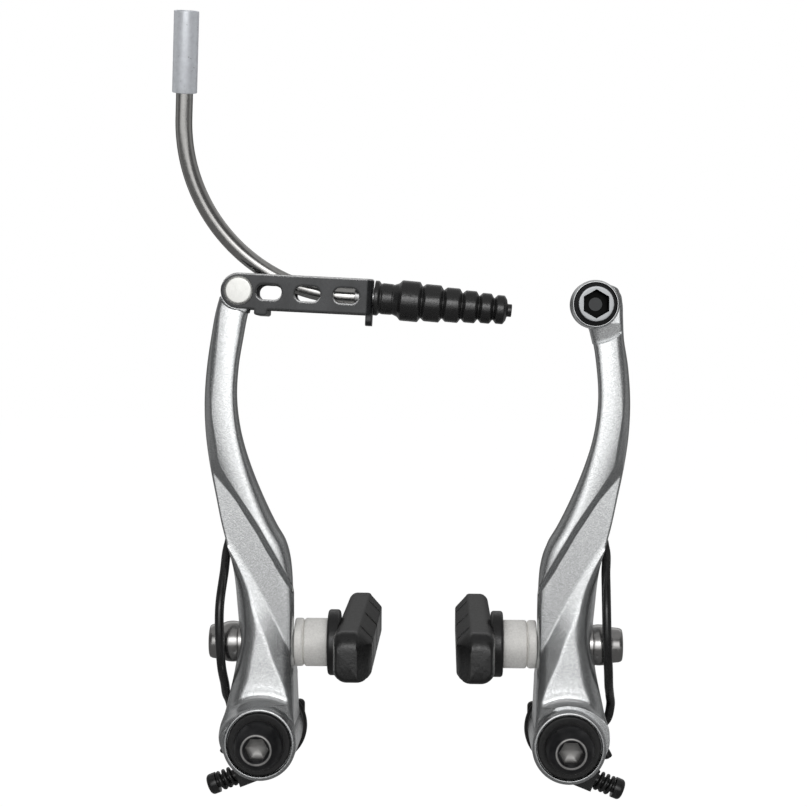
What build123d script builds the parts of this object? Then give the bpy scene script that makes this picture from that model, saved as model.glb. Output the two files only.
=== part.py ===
# Linear-pull bicycle brake: a pair of arms with pads, pivots, springs, link, lead pipe and boot.
# Sizes are in millimetres. X runs across the wheel, Y from front to back, Z up.
# The pivot axes lie at Z = 0, the pad studs in the plane Y = 0, and the pair is centred on X = 0.
# The left arm is drawn, and its twin pieces are mirrored in the plane X = 0.

import os
from math import cos, radians, sin

from build123d import *

os.makedirs("parts", exist_ok=True)

# Layout of the pair
pivot_spacing = 73.5
arm_length = 107.9
arm_lean = 6.4
anchor_drop = 3.0
anchor_lean = 5.6
stud_height = 22.3

# Arm forging
arm_back = 6.5
panel_front = 6.0
step_height = 2.4
step_bevel = 2.0
waist_out = 6.2
flare_out = 10.9
belly_out = 14.6
belly_in = 6.6
elbow_in = 7.4
barrel_radius = 8.8
barrel_front = 14.0
barrel_back = 6.0
fork_thickness = 6.6
tongue_radius = 4.1
shoulder_drop = 5.4
neck_relief = 0.5

facet_slope = 0.5
back_bevel = 1.0
rim_bevel = 0.6

# Pivot
post_radius = 4.0
sleeve_wall = 2.0
sleeve_back = 13.5
running_gap = 0.05
free_gap = 0.3
washer_radius = 7.5
washer_thickness = 1.5
thread_radius = 2.675
bolt_neck_radius = 3.0
bolt_neck_length = 2.0
bolt_head_radius = 5.8
bolt_head_height = 6.2
bolt_rim_radius = 3.7
bolt_reach = 18.0
pivot_hex = 5.0

# Spring holder and tension screw
hub_wall = 1.1
flange_radius = 8.6
flange_thickness = 2.0
screw_angle = 22.0
screw_out = 7.8
screw_low = 12.8
screw_radius = 1.5
screw_head_radius = 2.6
screw_head_height = 2.4
screw_gap = 5.4
screw_depth = 3.4
screw_run_in = 1.0
coil_wire = 0.35
coil_pitch = 1.35
anchor_pin_radius = 1.2
anchor_root_radius = 1.7
anchor_pin_low = 10.4
anchor_pin_reach = 4.0

# Return spring
spring_wire = 1.1
spring_bow = 11.4
spring_hook_height = 48.5

# Pad and its hardware
pad_length = 71.0
pad_front_reach = 24.0
pad_height = 12.0
pad_thickness = 8.9
pad_bevel = 3.4
pad_flange_radius = 8.0
pad_flange_thickness = 2.5
pad_slot_pitch = 22.0
pad_slot_width = 1.5
pad_slot_depth = 2.4
toe_length = 6.0
stud_radius = 3.0
cup_radius = 5.85
cup_length = 5.8
dome_rim = 2.2
dome_crown = 1.2
seat_gap = 0.05
outer_seat_radius = 5.3
outer_dome_rim = 1.5
outer_cup_length = 2.4
outer_pocket_floor = 2.2
nut_radius = 4.85
nut_length = 7.3
nut_taper = 1.8
nut_hex = 5.0
slot_travel = 8.0

# Link, lead pipe and boot
link_tilt = 2.5
link_length = 32.3
link_height = 8.6
link_gap = 7.0
link_plate = 1.5
link_bend = 1.7
link_slot_length = 6.3
link_slot_height = 3.7
link_slot_pitch = 9.35
tab_drop = 2.6
bridge_start = 4.0
bridge_length = 3.1
bridge_drop = 1.4
rivet_radius = 2.5
rivet_head_radius = 3.55
rivet_head_height = 0.6
pipe_radius = 2.0
pipe_bore = 1.3
liner_bore = 1.0
pipe_bend = 40.5
pipe_sweep = 91.0
pipe_lean = 14.0
pipe_straight = 10.0
pipe_lead_in = 3.6
nose_radius = 2.5
nose_collar = 2.9
nose_reach = 4.0
nose_grip = 2.9
ferrule_radius = 2.95
ferrule_length = 19.0
ferrule_grip = 4.0
casing_radius = 2.55
casing_depth = 12.0
boot_tilt = 5.0
boot_rings = 6
boot_ring_pitch = 5.85
boot_ring_ratio = 0.89
boot_ring_radius = 4.93
boot_ring_shrink = 0.27
boot_groove = 0.9
boot_neck = 6.1
boot_flange_radius = 4.25
boot_mouth = 2.8
boot_tip_radius = 1.55
boot_hole = 0.9

# Cable anchor
boss_radius = 5.8
boss_front = 10.0
boss_rim = 0.6
recess_radius = 9.5
cable_washer_thickness = 1.3
cable_bolt_radius = 4.2
cable_bolt_height = 2.4
cable_hex = 5.0
cable_radius = 0.85

# Derived positions
pivot_x = -pivot_spacing / 2
sleeve_radius = post_radius + sleeve_wall
sleeve_front = barrel_front - washer_thickness
raised_front = panel_front + step_height
pin_x = pivot_x - arm_lean
pin_z = arm_length
anchor_z = arm_length - anchor_drop
shoulder_z = arm_length - shoulder_drop
cup_end = elbow_in + dome_rim + seat_gap + cup_length
pad_back = cup_end + pad_flange_thickness
pad_face = pad_back + pad_thickness
nut_seat = outer_pocket_floor + outer_dome_rim + outer_cup_length + 2 * seat_gap
stud_end = nut_seat + 3.0
hook_depth = 5.2
hook_mouth = 3.6
hook_point = (pivot_x - waist_out - 4.2, arm_back - 3.0, spring_hook_height)
cable_point = (-pivot_x + anchor_lean, -boss_front + boss_rim + cable_washer_thickness + 0.5, anchor_z + 4.1)

# Working planes: local x runs inwards from the left pivot, local y up, and the normal faces the front
arm_plane = Plane(origin=(pivot_x, 0, 0), x_dir=(1, 0, 0), z_dir=(0, -1, 0))
stud_plane = Plane(origin=(pivot_x, 0, stud_height), x_dir=(0, 1, 0), z_dir=(1, 0, 0))
stud_section = Plane(origin=(pivot_x, 0, stud_height), x_dir=(1, 0, 0), z_dir=(0, -1, 0))
link_axis = (cos(radians(link_tilt)), 0, -sin(radians(link_tilt)))
link_plane = Plane(origin=(pin_x, 0, pin_z), x_dir=link_axis, z_dir=(0, -1, 0))
screw_axis = (-cos(radians(screw_angle)), 0, -sin(radians(screw_angle)))
screw_start = (pivot_x - screw_out, (barrel_back + sleeve_back) / 2, -screw_low)
screw_plane = Plane(origin=screw_start, x_dir=(0, 1, 0), z_dir=screw_axis)

# Outline of the arm in the arm plane, from the barrel to the shoulder below the link
top_out = arm_lean + 5.7
top_in = arm_lean - 2.2
elbow_z = 0.375 * arm_length
belly_z = 0.745 * arm_length
with BuildSketch(arm_plane) as arm_face:
    with BuildLine():
        outer = Spline(
            (-flare_out, 0.5),
            (-waist_out - 1.3, stud_height - 8),
            (-waist_out, stud_height + 2),
            (-waist_out - 1.7, 0.39 * arm_length),
            (-belly_out + 2.3, 0.575 * arm_length),
            (-belly_out, belly_z),
            (-top_out, shoulder_z),
            tangents=((0.35, 1), (0.15, 1)),
        )
        over = Line(outer @ 1, (-top_in, shoulder_z))
        inner = Spline(
            over @ 1,
            (-belly_in, belly_z),
            (-belly_in + 2.1, 0.645 * arm_length),
            (-0.6, 0.54 * arm_length),
            (elbow_in - 1.4, 0.428 * arm_length),
            (elbow_in, elbow_z),
            tangents=((-0.25, -1), (0, -1)),
        )
        face_line = Line(inner @ 1, (elbow_in, 0))
        toe = Line(face_line @ 1, (0, -barrel_radius + 2))
        heel = Line(toe @ 1, (-flare_out + 2.4, -5.2))
        ThreePointArc(heel @ 1, (-flare_out + 0.5, -3.2), outer @ 0)
    make_face()

# The raised upper body ends at a step that crosses the arm from the outer edge to the elbow
ledge = 0.15
step_end = (elbow_in - 1.0, 0.338 * arm_length)
with BuildSketch(arm_plane.offset(panel_front - 0.5)) as raised_base:
    with BuildLine():
        step = Spline(
            (-top_out + ledge, shoulder_z),
            (-belly_out + ledge, belly_z),
            (-belly_out + 1.0, 0.645 * arm_length),
            (-belly_out + 2.4, 0.6 * arm_length),
            (-8.3, 0.551 * arm_length),
            (-2.6, 0.4745 * arm_length),
            (3.4, 0.378 * arm_length),
            step_end,
            tangents=((-0.15, -1), (0.6, -1)),
        )
        foot = Line(step @ 1, (elbow_in - ledge, step_end[1]))
        crown = Spline(
            foot @ 1,
            (elbow_in - ledge, elbow_z),
            (elbow_in - 1.4 - ledge, 0.428 * arm_length),
            (-0.6 - ledge, 0.54 * arm_length),
            (-belly_in + 2.1 - ledge, 0.645 * arm_length),
            (-belly_in - ledge, belly_z),
            (-top_in - ledge, shoulder_z),
            tangents=((0, 1), (0.25, 1)),
        )
        Line(crown @ 1, step @ 0)
    make_face()
with BuildSketch(arm_plane.offset(raised_front)) as raised_top:
    with BuildLine():
        step = Spline(
            (-top_out + step_bevel, shoulder_z),
            (-belly_out + step_bevel, belly_z),
            (-belly_out + step_bevel + 1.0, 0.665 * arm_length),
            (-belly_out + step_bevel + 2.9, 0.61 * arm_length),
            (-8.3 + step_bevel, 0.561 * arm_length),
            (-2.6 + 0.6 * step_bevel, 0.484 * arm_length),
            (3.4 + 0.1 * step_bevel, 0.392 * arm_length),
            (step_end[0] + 0.1, step_end[1] + 1.0),
            tangents=((-0.15, -1), (0.6, -1)),
        )
        foot = Line(step @ 1, (elbow_in - 0.5, step_end[1] + 1.0))
        crown = Spline(
            foot @ 1,
            (elbow_in - 0.6 * step_bevel, elbow_z + 0.5),
            (elbow_in - 1.6 * step_bevel, 0.428 * arm_length),
            (-0.6 - 1.1 * step_bevel, 0.54 * arm_length),
            (-belly_in + 2.1 - step_bevel, 0.645 * arm_length),
            (-belly_in - step_bevel, belly_z),
            (-top_in - step_bevel, shoulder_z),
            tangents=((-0.2, 1), (0.25, 1)),
        )
        Line(crown @ 1, step @ 0)
    make_face()

# The flared lower body lies outside a crease that fans out from the outer edge
crease_start = (-waist_out - 2.7, 0.44 * arm_length)
crease_end = (elbow_in - 0.9, stud_height - 1.3)
crease_run = Vector(crease_end[0] - crease_start[0], crease_end[1] - crease_start[1])
with BuildSketch(arm_plane) as flare_face:
    add(arm_face.sketch_local)
    with BuildLine():
        Polyline(
            crease_start,
            (crease_end[0] + 0.3 * crease_run.X, crease_end[1] + 0.3 * crease_run.Y),
            (elbow_in + 9, -barrel_radius - 6),
            (-flare_out - 9, -barrel_radius - 6),
            (-flare_out - 9, crease_start[1] + 8),
            close=True,
        )
    make_face(mode=Mode.INTERSECT)
crease_origin = (pivot_x + crease_start[0], -panel_front, crease_start[1])
crease_dir = (crease_run.X, 0, crease_run.Y)
crease_plane = Plane(origin=crease_origin, x_dir=(0, -1, 0), z_dir=crease_dir)

# Forging common to both arms
with BuildPart() as arm_blank:
    with BuildSketch(arm_plane.offset(panel_front - 1)):
        add(flare_face.sketch_local)
    extrude(amount=barrel_front - panel_front + 1 - 2 * rim_bevel)
    # hollow sweep of the front above the barrel
    with BuildSketch(Plane(origin=(pivot_x - 30, 0, 0), x_dir=(0, -1, 0), z_dir=(-1, 0, 0))):
        with BuildLine():
            hollow = Spline(
                (barrel_front + 2, barrel_radius - 1.6),
                (panel_front + 4.0, barrel_radius + 0.4),
                (panel_front + 2.1, barrel_radius + 5.5),
                (panel_front + 1.35, stud_height + 3),
                (panel_front + 0.5, crease_start[1]),
                (panel_front, crease_start[1] + 12),
                tangents=((-1, 0.15), (-0.02, 1)),
            )
            lid = Line(hollow @ 1, (barrel_front + 2, crease_start[1] + 12))
            Line(lid @ 1, hollow @ 0)
        make_face()
    extrude(amount=-60, mode=Mode.SUBTRACT)

    # twisted facet between the panel and the flare
    with BuildSketch(crease_plane):
        Polygon((0, -1), (0, 0), (15 * facet_slope, 15), (30, 15), (30, -1), align=None)
    extrude(amount=70, both=True, mode=Mode.SUBTRACT)
    with BuildSketch(arm_plane.offset(-arm_back)):
        add(arm_face.sketch_local)
    extrude(amount=arm_back + panel_front)
    back_edges = arm_blank.faces().sort_by(Axis.Y)[-1].edges()
    chamfer(back_edges.sort_by(SortBy.LENGTH)[-2:], back_bevel)
    loft(sections=[raised_base.sketch, raised_top.sketch], ruled=True)
    with BuildSketch(arm_plane.offset(-barrel_back)):
        Circle(barrel_radius)
    extrude(amount=barrel_back + barrel_front - rim_bevel)
    with BuildSketch(arm_plane.offset(barrel_front - rim_bevel)):
        Circle(barrel_radius)
    extrude(amount=rim_bevel, taper=45)
    # back of the barrel, faced off for the spring holder
    with BuildSketch(arm_plane.offset(-barrel_back)):
        Circle(flare_out + 3)
    extrude(amount=-arm_back, mode=Mode.SUBTRACT)
    # bore for the sleeve and recess for the washer
    with BuildSketch(arm_plane.offset(-arm_back)):
        Circle(sleeve_radius + running_gap)
    extrude(amount=arm_back + barrel_front, mode=Mode.SUBTRACT)
    with BuildSketch(arm_plane.offset(sleeve_front - free_gap)):
        Circle(washer_radius + free_gap)
    extrude(amount=washer_thickness + 1, mode=Mode.SUBTRACT)
    # slot for the pad stud and pocket for the outer washers
    with BuildSketch(stud_plane):
        SlotOverall(slot_travel + 2 * stud_radius, 2 * stud_radius + 0.6, rotation=90)
    extrude(amount=30, both=True, mode=Mode.SUBTRACT)
    with BuildSketch(stud_plane.offset(-outer_pocket_floor)):
        SlotOverall(2 * outer_seat_radius + 3, 2 * outer_seat_radius + 0.6, rotation=90)
    extrude(amount=-20, mode=Mode.SUBTRACT)
    # notch that holds the upper end of the return spring
    with BuildSketch(Plane(origin=hook_point, x_dir=(0, 1, 0), z_dir=(1, 0, 0))):
        SlotOverall(2 * (spring_wire + free_gap) + hook_mouth, 2 * (spring_wire + free_gap), rotation=90)
    extrude(amount=hook_depth + 0.5, mode=Mode.SUBTRACT)

# Left arm, with a tongue between the plates of the link
with BuildPart() as left_arm:
    add(arm_blank.part)
    with BuildSketch(arm_plane.offset(-fork_thickness / 2)):
        with BuildLine():
            Polyline(
                (-top_out, shoulder_z - 1),
                (-top_in - neck_relief, shoulder_z - 1),
                (-arm_lean + tongue_radius, pin_z),
                (-arm_lean - tongue_radius, pin_z),
                close=True,
            )
        make_face()
        with Locations((-arm_lean, pin_z)):
            Circle(tongue_radius)
    extrude(amount=fork_thickness)
    with BuildSketch(link_plane.offset(-arm_back)):
        Circle(rivet_radius + running_gap)
    extrude(amount=2 * arm_back, mode=Mode.SUBTRACT)
left_arm.part.label = "left_arm"
export_step(left_arm.part, "parts/left_arm.step")

# Right arm, with a boss for the cable anchor
boss_plane = Plane(origin=(-pivot_x + anchor_lean, 0, anchor_z), x_dir=(1, 0, 0), z_dir=(0, -1, 0))
neck_plane = Plane(origin=(-pivot_x, 0, 0), x_dir=(1, 0, 0), z_dir=(0, -1, 0))
boss_floor = boss_front - boss_rim - cable_washer_thickness
with BuildPart() as right_arm:
    mirror(arm_blank.part, about=Plane.YZ)
    with BuildSketch(neck_plane.offset(-arm_back + 2)):
        with BuildLine():
            Polyline(
                (top_in - 0.3, shoulder_z - 4),
                (top_out - 0.1, shoulder_z - 4),
                (top_out, anchor_z),
                (anchor_lean + 2, anchor_z + boss_radius - 0.5),
                (anchor_lean - boss_radius + 0.6, anchor_z - 1.5),
                close=True,
            )
        make_face()
    extrude(amount=arm_back + panel_front - 3)
    # recess round the boss
    with BuildSketch(boss_plane.offset(panel_front - 1)):
        Circle(recess_radius)
    extrude(amount=boss_front, mode=Mode.SUBTRACT)
    with BuildSketch(boss_plane.offset(-arm_back + 1)):
        Circle(boss_radius)
    extrude(amount=arm_back + boss_front - 1)
    with BuildSketch(boss_plane.offset(boss_floor)):
        Circle(boss_radius - boss_rim)
    extrude(amount=boss_front, mode=Mode.SUBTRACT)
    with BuildSketch(boss_plane.offset(-arm_back)):
        Circle(stud_radius + running_gap)
    extrude(amount=arm_back + boss_front, mode=Mode.SUBTRACT)
    # groove that the cable lies in, below the washer
    with BuildSketch(Plane(origin=cable_point, x_dir=(0, 1, 0), z_dir=(1, 0, 0))):
        Circle(cable_radius)
        with Locations((-cable_radius, 0)):
            Rectangle(2 * cable_radius, 2 * cable_radius)
    extrude(amount=boss_radius - 0.4, both=True, mode=Mode.SUBTRACT)
right_arm.part.label = "right_arm"
export_step(right_arm.part, "parts/right_arm.step")

# Pivot sleeve that the arm turns on
with BuildPart() as left_sleeve:
    with BuildSketch(arm_plane.offset(-sleeve_back)):
        Circle(sleeve_radius)
        Circle(post_radius + running_gap, mode=Mode.SUBTRACT)
    extrude(amount=sleeve_back + sleeve_front)
left_sleeve.part.label = "left_sleeve"
export_step(left_sleeve.part, "parts/left_sleeve.step")

with BuildPart() as right_sleeve:
    mirror(left_sleeve.part, about=Plane.YZ)
right_sleeve.part.label = "right_sleeve"
export_step(right_sleeve.part, "parts/right_sleeve.step")

# Washer that closes the recess in front of the sleeve
with BuildPart() as left_pivot_washer:
    with BuildSketch(arm_plane.offset(sleeve_front)):
        Circle(washer_radius)
        Circle(bolt_neck_radius + free_gap, mode=Mode.SUBTRACT)
    extrude(amount=washer_thickness)
    chamfer(left_pivot_washer.faces().sort_by(Axis.Y)[0].outer_wire().edges(), 0.4)
left_pivot_washer.part.label = "left_pivot_washer"
export_step(left_pivot_washer.part, "parts/left_pivot_washer.step")

with BuildPart() as right_pivot_washer:
    mirror(left_pivot_washer.part, about=Plane.YZ)
right_pivot_washer.part.label = "right_pivot_washer"
export_step(right_pivot_washer.part, "parts/right_pivot_washer.step")

# Pivot bolt with a domed head, hexagon socket and plain neck; its thread is plain at the pitch diameter
head_back = barrel_front
head_front = barrel_front + bolt_head_height
pivot_section = Plane(origin=(pivot_x, 0, 0), x_dir=(1, 0, 0), z_dir=(0, 0, 1))
with BuildPart() as left_pivot_bolt:
    with BuildSketch(pivot_section):
        with BuildLine():
            shank = Polyline(
                (0, bolt_reach - head_back),
                (thread_radius - 0.5, bolt_reach - head_back),
                (thread_radius, bolt_reach - head_back - 0.5),
                (thread_radius, bolt_neck_length - head_back),
                (bolt_neck_radius, bolt_neck_length - head_back),
                (bolt_neck_radius, -head_back),
                (bolt_head_radius, -head_back),
                (bolt_head_radius, -head_back - 0.45 * bolt_head_height),
            )
            dome = ThreePointArc(
                shank @ 1,
                (0.62 * bolt_head_radius + 0.38 * bolt_rim_radius, -head_back - 0.8 * bolt_head_height),
                (bolt_rim_radius, -head_front),
            )
            nose = Line(dome @ 1, (0, -head_front))
            Line(nose @ 1, shank @ 0)
        make_face()
    revolve(axis=Axis((pivot_x, 0, 0), (0, 1, 0)))
    with BuildSketch(arm_plane.offset(head_front)):
        RegularPolygon(pivot_hex / 2, 6, major_radius=False)
    extrude(amount=-0.6 * bolt_head_height, mode=Mode.SUBTRACT)
left_pivot_bolt.part.label = "left_pivot_bolt"
export_step(left_pivot_bolt.part, "parts/left_pivot_bolt.step")

with BuildPart() as right_pivot_bolt:
    mirror(left_pivot_bolt.part, about=Plane.YZ)
right_pivot_bolt.part.label = "right_pivot_bolt"
export_step(right_pivot_bolt.part, "parts/right_pivot_bolt.step")

# Spring holder behind the arm, with a lug for the tension screw
hub_radius = sleeve_radius + running_gap + hub_wall
holder_front = barrel_back + free_gap
lug_tip = (-screw_out, -screw_low)
lug_side = (sin(radians(screw_angle)) * 2.7, -cos(radians(screw_angle)) * 2.7)
with BuildPart() as left_spring_holder:
    with BuildSketch(arm_plane.offset(-sleeve_back)):
        Circle(hub_radius)
    extrude(amount=sleeve_back - holder_front)
    with BuildSketch(arm_plane.offset(-sleeve_back)):
        Circle(flange_radius)
        with Locations((flange_radius - 2.6, 1.5)):
            RectangleRounded(5.4, 8.4, 1.2)
        with BuildLine():
            Polyline(
                (-flange_radius + 0.5, -2),
                (lug_tip[0] - lug_side[0], lug_tip[1] - lug_side[1]),
                (lug_tip[0] + lug_side[0], lug_tip[1] + lug_side[1]),
                (0, -anchor_pin_low - 2.2),
                (flange_radius - 3, -flange_radius + 3),
                close=True,
            )
        make_face()
    extrude(amount=flange_thickness)
    with BuildSketch(arm_plane.offset(-sleeve_back)):
        with BuildLine():
            Polyline(
                (-flange_radius + 2.2, -flange_radius + 1.2),
                (lug_tip[0] - lug_side[0], lug_tip[1] - lug_side[1]),
                (lug_tip[0] + lug_side[0], lug_tip[1] + lug_side[1]),
                (0, -anchor_pin_low - 2.2),
                (2.0, -flange_radius + 0.8),
                close=True,
            )
        make_face()
        Circle(flange_radius + 1.6, mode=Mode.SUBTRACT)
    extrude(amount=sleeve_back - holder_front)
    with BuildSketch(arm_plane.offset(-sleeve_back)):
        Circle(sleeve_radius + running_gap)
    extrude(amount=sleeve_back, mode=Mode.SUBTRACT)
    with BuildSketch(screw_plane):
        Circle(screw_radius + running_gap)
    extrude(amount=-screw_depth - screw_run_in - free_gap, mode=Mode.SUBTRACT)
    with BuildSketch(arm_plane.offset(-sleeve_back)):
        with Locations((0, -anchor_pin_low)):
            Circle(anchor_root_radius)
    extrude(amount=flange_thickness, mode=Mode.SUBTRACT)
left_spring_holder.part.label = "left_spring_holder"
export_step(left_spring_holder.part, "parts/left_spring_holder.step")

with BuildPart() as right_spring_holder:
    mirror(left_spring_holder.part, about=Plane.YZ)
right_spring_holder.part.label = "right_spring_holder"
export_step(right_spring_holder.part, "parts/right_spring_holder.step")

# Pin that locks the holder to the frame
with BuildPart() as left_anchor_pin:
    with BuildSketch(arm_plane.offset(-sleeve_back + flange_thickness)):
        with Locations((0, -anchor_pin_low)):
            Circle(anchor_root_radius)
    extrude(amount=-flange_thickness)
    with BuildSketch(arm_plane.offset(-sleeve_back)):
        with Locations((0, -anchor_pin_low)):
            Circle(anchor_pin_radius)
    extrude(amount=-anchor_pin_reach)
    chamfer(left_anchor_pin.faces().sort_by(Axis.Y)[-1].edges(), 0.3)
left_anchor_pin.part.label = "left_anchor_pin"
export_step(left_anchor_pin.part, "parts/left_anchor_pin.step")

with BuildPart() as right_anchor_pin:
    mirror(left_anchor_pin.part, about=Plane.YZ)
right_anchor_pin.part.label = "right_anchor_pin"
export_step(right_anchor_pin.part, "parts/right_anchor_pin.step")

# Tension screw with a cross recess
with BuildPart() as left_tension_screw:
    with BuildSketch(screw_plane.offset(-screw_depth)):
        Circle(screw_radius)
    extrude(amount=screw_depth + screw_gap)
    with BuildSketch(screw_plane.offset(screw_gap)):
        Circle(screw_head_radius)
    extrude(amount=screw_head_height)
    fillet(left_tension_screw.faces().sort_by(Axis(screw_start, screw_axis))[-1].edges(), 1.0)
    with BuildSketch(screw_plane.offset(screw_gap + screw_head_height)):
        Rectangle(2.6, 0.7)
        Rectangle(0.7, 2.6)
    extrude(amount=-1.2, mode=Mode.SUBTRACT)
left_tension_screw.part.label = "left_tension_screw"
export_step(left_tension_screw.part, "parts/left_tension_screw.step")

with BuildPart() as right_tension_screw:
    mirror(left_tension_screw.part, about=Plane.YZ)
right_tension_screw.part.label = "right_tension_screw"
export_step(right_tension_screw.part, "parts/right_tension_screw.step")

# Small spring that keeps the tension screw from turning: each turn is six straight bits and six arcs
coil_radius = screw_radius + free_gap + coil_wire
coil_low = coil_wire + 0.1
coil_height = screw_gap - 2 * coil_low
coil_corner = coil_radius / cos(radians(30))
coil_steps = int(6 * coil_height / coil_pitch)
coil_points = [
    screw_plane.from_local_coords(
        Vector(
            coil_corner * cos(radians(60 * k)),
            coil_corner * sin(radians(60 * k)),
            coil_low + coil_height * k / coil_steps,
        )
    )
    for k in range(coil_steps + 1)
]
with BuildPart() as left_screw_spring:
    with BuildLine():
        coil = FilletPolyline(*coil_points, radius=0.9 * coil_radius)
    with BuildSketch(Plane(origin=coil @ 0, z_dir=coil % 0)):
        RegularPolygon(coil_wire, 6)
    sweep(path=coil)
left_screw_spring.part.label = "left_screw_spring"
export_step(left_screw_spring.part, "parts/left_screw_spring.step")

with BuildPart() as right_screw_spring:
    mirror(left_screw_spring.part, about=Plane.YZ)
right_screw_spring.part.label = "right_screw_spring"
export_step(right_screw_spring.part, "parts/right_screw_spring.step")

# Return spring: one coil on the hub, a leg that bows round the pad nut and a hook in the arm
spring_radius = hub_radius + free_gap + spring_wire
turn_radius = spring_radius / cos(radians(22.5))
coil_back = sleeve_back - flange_thickness - 0.2 - spring_wire
coil_front = coil_back - 2 * spring_wire - 0.2
turn_points = [
    (
        pivot_x - turn_radius * cos(radians(22.5 + 45 * k)),
        coil_back + (coil_front - coil_back) * (k + 0.5) / 8,
        turn_radius * sin(radians(22.5 + 45 * k)),
    )
    for k in range(8)
]
bow_front = -(nut_radius + spring_wire + 2 * free_gap)
tail_points = [
    (pivot_x - spring_radius - 2.0, coil_back, -7.0),
    (pivot_x - spring_radius - 0.2, coil_back, -1.5),
]
leg_points = [
    (pivot_x - spring_radius - 1.75, coil_front - 0.2, 8.8),
    (pivot_x - spring_bow + 1.0, bow_front - 0.3, stud_height - 4.6),
    (pivot_x - spring_bow - 0.2, bow_front - 0.2, stud_height + 9.5),
    (pivot_x - spring_bow + 1.1, hook_point[1], spring_hook_height - 1.2),
    (hook_point[0] + hook_depth, hook_point[1], spring_hook_height),
]
leg_radii = [5.0, 8.0, 14.0, 2.4]
with BuildPart() as left_return_spring:
    with BuildLine():
        wire = FilletPolyline(
            *tail_points,
            *turn_points,
            *leg_points,
            radius=[4.0] + 8 * [0.9 * spring_radius] + leg_radii,
        )
    with BuildSketch(Plane(origin=wire @ 0, z_dir=wire % 0)):
        Circle(spring_wire)
    sweep(path=wire)
left_return_spring.part.label = "left_return_spring"
export_step(left_return_spring.part, "parts/left_return_spring.step")

with BuildPart() as right_return_spring:
    mirror(left_return_spring.part, about=Plane.YZ)
right_return_spring.part.label = "right_return_spring"
export_step(right_return_spring.part, "parts/right_return_spring.step")

# Pad stud with a moulded-in head
stud_axis = Axis((pivot_x, 0, stud_height), (1, 0, 0))
head_start = pad_back + 0.8
head_end = pad_back + 2.8
head_radius = stud_radius + 1.6
with BuildPart() as left_pad_stud:
    with BuildSketch(stud_section):
        Polygon(
            (-stud_end, 0),
            (-stud_end, stud_radius - 0.5),
            (-stud_end + 0.5, stud_radius),
            (head_start, stud_radius),
            (head_start, head_radius),
            (head_end, head_radius),
            (head_end, 0),
            align=None,
        )
    revolve(axis=stud_axis)
left_pad_stud.part.label = "left_pad_stud"
export_step(left_pad_stud.part, "parts/left_pad_stud.step")

with BuildPart() as right_pad_stud:
    mirror(left_pad_stud.part, about=Plane.YZ)
right_pad_stud.part.label = "right_pad_stud"
export_step(right_pad_stud.part, "parts/right_pad_stud.step")

# Brake pad: a bevelled bar on a round base, with slots across the braking face
half_height = pad_height / 2
toe_depth = 0.95 * pad_bevel
slot_first = pad_front_reach - pad_length / 2 + pad_slot_pitch
with BuildPart() as left_pad:
    with BuildSketch(stud_section.offset(pad_front_reach)):
        Polygon(
            (pad_back + 1.0, -half_height),
            (pad_face - 2.4, -half_height),
            (pad_face, -half_height + 1.5),
            (pad_face, half_height - pad_bevel),
            (pad_face - pad_bevel, half_height),
            (pad_back + 1.0, half_height),
            (pad_back, half_height - 1.0),
            (pad_back, -half_height + 1.0),
            align=None,
        )
    extrude(amount=-pad_length)
    # tapered ends
    with BuildSketch(Plane(origin=(pivot_x, 0, stud_height - pad_height))):
        Polygon(
            (pad_face + 1, -pad_front_reach - 1),
            (pad_face - toe_depth, -pad_front_reach - 1),
            (pad_face - toe_depth, -pad_front_reach),
            (pad_face, -pad_front_reach + toe_length),
            (pad_face + 1, -pad_front_reach + toe_length),
            align=None,
        )
        Polygon(
            (pad_face + 1, pad_length - pad_front_reach + 1),
            (pad_face - toe_depth, pad_length - pad_front_reach + 1),
            (pad_face - toe_depth, pad_length - pad_front_reach),
            (pad_face, pad_length - pad_front_reach - toe_length / 2),
            (pad_face + 1, pad_length - pad_front_reach - toe_length / 2),
            align=None,
        )
    extrude(amount=2 * pad_height, mode=Mode.SUBTRACT)
    # slots
    with BuildSketch(Plane(origin=(pivot_x, 0, stud_height - pad_height))):
        with Locations(*[(pad_face, pad_slot_pitch * k - slot_first) for k in range(3)]):
            Rectangle(2 * pad_slot_depth, pad_slot_width)
    extrude(amount=2 * pad_height, mode=Mode.SUBTRACT)
    # round base
    with BuildSketch(stud_plane.offset(cup_end)):
        Circle(pad_flange_radius)
    extrude(amount=pad_flange_thickness + 0.6)
    with BuildSketch(stud_section):
        Polygon(
            (cup_end - 1, 0),
            (cup_end - 1, stud_radius + running_gap),
            (head_start - running_gap, stud_radius + running_gap),
            (head_start - running_gap, head_radius + running_gap),
            (head_end + running_gap, head_radius + running_gap),
            (head_end + running_gap, 0),
            align=None,
        )
    revolve(axis=stud_axis, mode=Mode.SUBTRACT)
left_pad.part.label = "left_pad"
export_step(left_pad.part, "parts/left_pad.step")

with BuildPart() as right_pad:
    mirror(left_pad.part, about=Plane.YZ)
right_pad.part.label = "right_pad"
export_step(right_pad.part, "parts/right_pad.step")

# Dished washers on the pad side: the dome lies on the arm and the cup swivels on it
washer_hole = stud_radius + free_gap
dome_seat = elbow_in + dome_rim
rim_reach = cup_radius - 0.5
with BuildPart() as left_inner_dome:
    with BuildSketch(stud_section):
        with BuildLine():
            rim = Polyline(
                (dome_seat + dome_crown, washer_hole),
                (elbow_in, washer_hole),
                (elbow_in, cup_radius - 0.3),
                (elbow_in + 0.3, cup_radius),
                (dome_seat - 0.5, cup_radius),
                (dome_seat, rim_reach),
            )
            middle = (dome_seat + 0.68 * dome_crown, (washer_hole + rim_reach) / 2)
            ThreePointArc(rim @ 1, middle, rim @ 0)
        make_face()
    revolve(axis=stud_axis)
left_inner_dome.part.label = "left_inner_dome"
export_step(left_inner_dome.part, "parts/left_inner_dome.step")

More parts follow.
